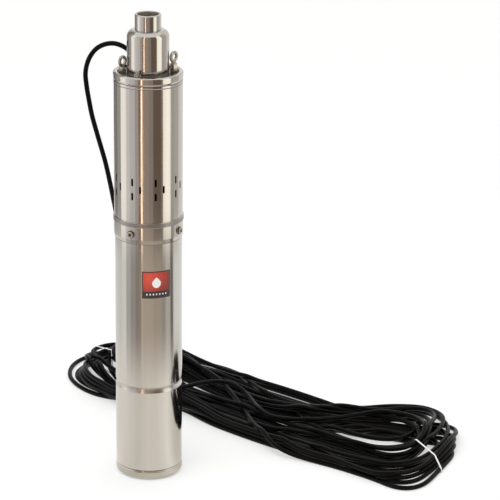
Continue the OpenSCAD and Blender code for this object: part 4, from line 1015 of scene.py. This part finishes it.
def tie_band(name, start, end):
    """A nylon band round the hank: taut over the humps of the cable between two points of the floor,
    and back along the floor, with a flat round-edged section carried along that loop."""
    start, end = np.array(start, float), np.array(end, float)
    reach = np.linalg.norm(end - start)
    along = (end - start) / reach
    side = np.array((-along[1], along[0]))
    across = np.linspace(0, reach, TIE_POINTS)
    line = start + across[:, None] * along
    gap = np.linalg.norm(line[:, None] - hank_path[None, :, :2], axis=2)
    round_top = hank_path[None, :, 2] + np.sqrt(np.maximum(CABLE_R**2 - gap**2, 0))
    top = np.where(gap < CABLE_R, round_top, 0).max(axis=1)
    over = taut_over(across, np.r_[0, top[1:-1], 0]) + TIE_THICK / 2
    loop_a = np.r_[across, across[::-1][1:-1]]
    loop_z = np.r_[over, np.full(len(across) - 2, TIE_THICK / 2)]
    loop_z[[0, len(across) - 1]] = TIE_THICK / 2
    step_a = np.roll(loop_a, -1) - np.roll(loop_a, 1)
    step_z = np.roll(loop_z, -1) - np.roll(loop_z, 1)
    size = np.hypot(step_a, step_z)
    out_a, out_z = -step_z / size, step_a / size
    turn = np.linspace(0, 2 * math.pi, TIE_SIDES, endpoint=False)
    wide = TIE_WIDTH / 2 * squarer(np.cos(turn), TIE_EDGE)
    thick = TIE_THICK / 2 * squarer(np.sin(turn), TIE_EDGE)
    a = loop_a[:, None] + out_a[:, None] * thick
    z = np.maximum(loop_z[:, None] + out_z[:, None] * thick, 0)
    flat = start + a[..., None] * along + wide[None, :, None] * side
    points = np.concatenate((flat, z[..., None]), axis=-1).reshape(-1, 3) * MM
    band = add_mesh(name, points, grid_faces(len(loop_a), len(turn), True, True), FINISHES["tie_nylon"])
    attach(band, "pump_body")
    return band


def tie_lock(name, start, end):
    """The lock of a tie, on the floor at its back end: a block with soft edges. On a grid of two angles,
    each half size is multiplied by the sines and cosines raised to a small power with their sign."""
    start, end = np.array(start, float), np.array(end, float)
    along = (end - start) / np.linalg.norm(end - start)
    rise, turn = np.meshgrid(np.linspace(-math.pi / 2, math.pi / 2, LOCK_ROWS),
                             np.linspace(0, 2 * math.pi, LOCK_SIDES, endpoint=False), indexing="ij")
    level = squarer(np.cos(rise), LOCK_EDGE)
    a = LOCK_HALF[0] * level * squarer(np.cos(turn), LOCK_EDGE)
    b = LOCK_HALF[1] * level * squarer(np.sin(turn), LOCK_EDGE)
    z = LOCK_HALF[2] * (1 + squarer(np.sin(rise), LOCK_EDGE))
    x = start[0] + a * along[0] - b * along[1]
    y = start[1] + a * along[1] + b * along[0]
    points = np.stack((x, y, z), axis=-1).reshape(-1, 3) * MM
    lock = add_mesh(name, points, grid_faces(*rise.shape, wrap_columns=True), FINISHES["tie_nylon"])
    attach(lock, "pump_body")
    return lock


def bare_cores():
    """The stripped end of the cable: cores set round its axis, that spread as they leave the sheath, each
    with a bare copper tip that goes on along the core's line."""
    end = cable_path[-1] / MM
    along = end - cable_path[-4] / MM
    along /= np.linalg.norm(along)
    side = np.cross(along, (0, 0, 1))
    side /= np.linalg.norm(side)
    up = np.cross(side, along)
    pieces = []
    for number, (name, finish) in enumerate(CORES.items()):
        turn = 2 * math.pi * number / len(CORES) + CORE_TURN
        away = math.cos(turn) * side + math.sin(turn) * up
        run = np.linspace(-CORE_IN, CORE_OUT + TIP_OUT, CORE_POINTS)[:, None]
        line = end + run * along + (CORE_OFF + CORE_SPREAD * np.maximum(run, 0) ** 2) * away
        bare = round(CORE_POINTS * (CORE_IN + CORE_OUT) / (CORE_IN + CORE_OUT + TIP_OUT))
        for piece, part, radius, material, slot in (
                (name, line[:bare], CORE_R, finish, "wire_insulation"),
                (name + "_tip", line[bare - 2:], TIP_R, FINISHES["copper_winding"], "copper_winding")):
            made = tube(piece, part * MM, radius * MM, material)
            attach(made, "pump_body")
            pieces.append(made)
    return pieces


ties = [tie_band(name, *ends) for name, ends in TIES.items()]
ties += [tie_lock(name + "_lock", *ends) for name, ends in TIES.items()]
ties += bare_cores()
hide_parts("cable_ties")


# Studio

def add_light(light, away):
    """A light that shines against the direction away from its aim, and that no mirror shows."""
    thing = bpy.data.objects.new(light.name, light)
    bpy.context.scene.collection.objects.link(thing)
    flat = math.hypot(away[0], away[1])
    thing.rotation_euler = (math.atan2(flat, away[2]), 0, math.atan2(away[1], away[0]) + math.pi / 2)
    thing.visible_glossy = False
    return thing


def lamp(name, place, aim, size, power):
    """A square soft light that faces a point."""
    light = bpy.data.lights.new(name, "AREA")
    light.size = size
    light.energy = power
    add_light(light, np.subtract(place, aim)).location = place


def sun(name, away, strength, spread):
    """An even light from one side of the sky, as soft as its spread in degrees."""
    light = bpy.data.lights.new(name, "SUN")
    light.energy = strength
    light.angle = math.radians(spread)
    add_light(light, away)


def shown_rays(field):
    """1 for rays that come from the camera, from a mirror or through something clear, and else 0."""
    rays = field.node("ShaderNodeLightPath").socket.node.outputs
    camera, mirror, clear = (Field(field.tree, rays["Is %s Ray" % kind])
                             for kind in ("Camera", "Glossy", "Transmission"))
    return field.math("MAXIMUM", camera, field.math("MAXIMUM", mirror, clear))


def for_mirrors(thing):
    """The same thing, shown only in mirrors."""
    thing.visible_camera = False
    thing.visible_diffuse = False
    thing.visible_shadow = False
    thing.visible_transmission = False
    return thing


def card_paint(tone, foot):
    """A glow for the metal to mirror, in one tone up the card and another on its foot, which fades into
    the floor near the pump."""
    def paint(field, place):
        z, out = place_parts(field, place)[2:]
        colour = z.ease(0.0, CARD_JOIN).mix(foot, tone)
        clear = field.node("ShaderNodeBsdfTransparent")
        glow = field.node("ShaderNodeEmission", None, {"Color": colour, "Strength": 1.0})
        return field.node("ShaderNodeMixShader", None, {0: out.ease(CARD_FADE, CARD_FULL), 1: clear, 2: glow})
    return paint


CARD_R = 0.95
CARD_HIGH = 1.6
CARD_FADE = 0.34
CARD_FULL = 0.68
CARD_LIFT = 0.002
CARD_JOIN = 0.12
CARD_POINTS = 12
# Cards round the pump: from and to an azimuth, the tone of the upright card and that of its foot
CARDS = {
    "rear_left": (-168, -150, (0.7, 0.68, 0.66), (1.0, 1.0, 1.0)),
    "left_flag": (-150, -121, (0.3, 0.28, 0.26), (0.9, 0.89, 0.87)),
    "left_panel": (-121, -99, (0.48, 0.46, 0.44), (0.9, 0.89, 0.87)),
    "left_box": (-99, -79, (1.38, 1.34, 1.27), (1.0, 0.99, 0.96)),
    "left_box_edge": (-79, -75, (1.34, 1.3, 1.23), (0.6, 0.58, 0.56)),
    "left_pale": (-75, -61, (0.9, 0.87, 0.84), (0.6, 0.58, 0.56)),
    "left_grey": (-61, -42, (0.76, 0.73, 0.72), (0.44, 0.41, 0.39)),
    "left_shade": (-42, -30, (0.54, 0.48, 0.45), (0.36, 0.31, 0.27)),
    "left_brown": (-30, -22.2, (0.3, 0.2, 0.15), (0.42, 0.34, 0.28)),
    "strip_left": (-22.2, -20.8, (1.0, 0.6, 0.4), (0.7, 0.6, 0.5)),
    "strip": (-20.8, -17.8, (3.6, 2.7, 1.95), (0.7, 0.6, 0.5)),
    "strip_right": (-17.8, -16, (1.0, 0.7, 0.52), (0.7, 0.6, 0.5)),
    "warm_wall": (-16, 3, (0.44, 0.35, 0.29), (0.62, 0.52, 0.43)),
    "front_wall": (3, 18, (0.36, 0.3, 0.26), (0.6, 0.51, 0.42)),
    "dark_wall": (18, 46, (0.19, 0.14, 0.11), (0.54, 0.46, 0.38)),
    "dark_edge": (46, 51, (0.36, 0.29, 0.24), (0.44, 0.41, 0.37)),
    "right_box": (51, 61, (1.5, 1.42, 1.22), (0.44, 0.41, 0.37)),
    "right_box_edge": (61, 80, (1.58, 1.53, 1.38), (0.64, 0.61, 0.56)),
    "right_shade": (80, 92, (0.56, 0.53, 0.49), (0.22, 0.2, 0.18)),
    "right_grey": (92, 97, (0.56, 0.53, 0.49), (0.8, 0.78, 0.75)),
    "right_wall": (97, 120, (0.62, 0.6, 0.56), (1.0, 0.99, 0.97)),
    "right_pale": (120, 150, (0.92, 0.9, 0.86), (1.0, 1.0, 1.0)),
    "rear_right": (150, 168, (0.85, 0.83, 0.8), (1.0, 1.0, 1.0)),
}


def card(name, first, last, tone, foot):
    """A curved upright card with a foot: an arc of azimuths, in on the floor, out to the ring and up."""
    az = np.radians(np.linspace(first, last, CARD_POINTS))
    turn = np.column_stack((np.sin(az), -np.cos(az)))
    rows = ((CARD_FADE, CARD_LIFT), (CARD_R, CARD_LIFT), (CARD_R, CARD_HIGH))
    points = np.vstack([np.column_stack((out * turn, np.full(len(az), up))) for out, up in rows])
    material = sheet_of(name, card_paint(tone, foot))
    return for_mirrors(add_mesh(name, points, grid_faces(len(rows), len(az)), material, smooth=False))


# The floor near the pump, as the metal mirrors it: a few listed tones, by azimuth
NEAR_IN = 0.05
NEAR_LIFT = 0.001
NEAR_POINTS = 96
NEAR_GLOW = 1.25
NEAR_WHITE = (1.0, 1.0, 1.0)
NEAR_REAR = (0.95, 0.94, 0.92)
NEAR_LEFT = (1.1, 1.05, 1.0)
NEAR_SHADE = (0.9, 0.86, 0.78)
NEAR_WARM = (1.0, 0.96, 0.87)
NEAR_BRIGHT = (1.2, 1.16, 1.1)
NEAR_DIM = (0.8, 0.76, 0.68)
NEAR_TONES = (
    (-180, NEAR_WHITE), (-150, NEAR_REAR), (-88, NEAR_LEFT), (-30, NEAR_SHADE), (0, NEAR_WARM),
    (28, NEAR_WARM), (62, NEAR_BRIGHT), (88, NEAR_SHADE), (116, NEAR_DIM), (150, NEAR_REAR),
    (180, NEAR_WHITE),
)
FLOOR_HALF = 6.0
FLOOR_PAPER = (0.84, 0.84, 0.83, 1)
FLOOR_GLOW = 0.5
WHITE = (1, 1, 1, 1)
AIR_LIGHT = 0.55
AIR_SHOWN = 0.45


def near_paint(field, place):
    """A glow whose tone goes from one azimuth's to the next."""
    x, y = place_parts(field, place)[:2]
    share = field.math("ARCTAN2", x, 0.0 - y) / (2 * math.pi) + 0.5
    stops = [(az / 360 + 0.5, tuple(c / NEAR_GLOW for c in tone)) for az, tone in NEAR_TONES]
    colour = field.node("ShaderNodeValToRGB", {"stops": stops}, {0: share})
    return field.node("ShaderNodeEmission", None, {"Color": colour, "Strength": NEAR_GLOW})


def near_sheet():
    """A level ring round the pump that only the metal mirrors: two circles of points, joined by quads."""
    az = np.linspace(0, 2 * math.pi, NEAR_POINTS, endpoint=False)
    turn = np.column_stack((np.sin(az), -np.cos(az)))
    rows = (NEAR_IN, CARD_FULL)
    points = np.vstack([np.column_stack((out * turn, np.full(len(az), NEAR_LIFT))) for out in rows])
    faces = grid_faces(len(rows), len(az), wrap_columns=True)
    material = sheet_of("near_sheet", near_paint)
    return for_mirrors(add_mesh("near_sheet", points, faces, material, smooth=False))


def floor_paint(field, place):
    """Pale paper that also glows where it is shown."""
    paper = field.node("ShaderNodeBsdfDiffuse", None, {"Color": FLOOR_PAPER})
    glow = field.node("ShaderNodeEmission", None, {"Color": WHITE, "Strength": 1.0})
    return field.node("ShaderNodeMixShader", None, {0: shown_rays(field) * FLOOR_GLOW, 1: paper, 2: glow})


def studio_floor():
    """A wide level sheet: a square grid of points on the floor."""
    span = np.linspace(-FLOOR_HALF, FLOOR_HALF, 3)
    x, y = np.meshgrid(span, span)
    points = np.column_stack((x.ravel(), y.ravel(), np.zeros(x.size)))
    material = sheet_of("studio_floor", floor_paint)
    return add_mesh("studio_floor", points, grid_faces(*x.shape), material, smooth=False)


studio_floor()
near_sheet()
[card(name, *facts) for name, facts in CARDS.items()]

world = bpy.data.worlds.new("studio_air")
bpy.context.scene.world = world
world.use_nodes = True
air = Field(world.node_tree)
background = world.node_tree.nodes["Background"]
background.inputs["Color"].default_value = WHITE
strength = AIR_LIGHT + shown_rays(air) * AIR_SHOWN
world.node_tree.links.new(strength.socket, background.inputs["Strength"])

sun("key_light", away=(-0.55, -0.6, 1.0), strength=1.5, spread=70)
sun("back_light", away=(0.3, 0.7, 1.0), strength=0.9, spread=80)
lamp("top_light", place=(0.0, -0.6, 2.6), aim=(0.0, 0.0, 0.4), size=1.2, power=14)

camera_data = bpy.data.cameras.new("camera")
camera_data.sensor_width = SENSOR_WIDTH
camera_data.lens = CAMERA_LENS
camera = bpy.data.objects.new("camera", camera_data)
bpy.context.scene.collection.objects.link(camera)
camera.location = CAMERA_PLACE
camera.rotation_mode = "ZYX"
camera.rotation_euler = (CAMERA_TILT, 0, CAMERA_ROLL)
bpy.context.scene.camera = camera
bpy.context.scene.view_settings.view_transform = "Standard"
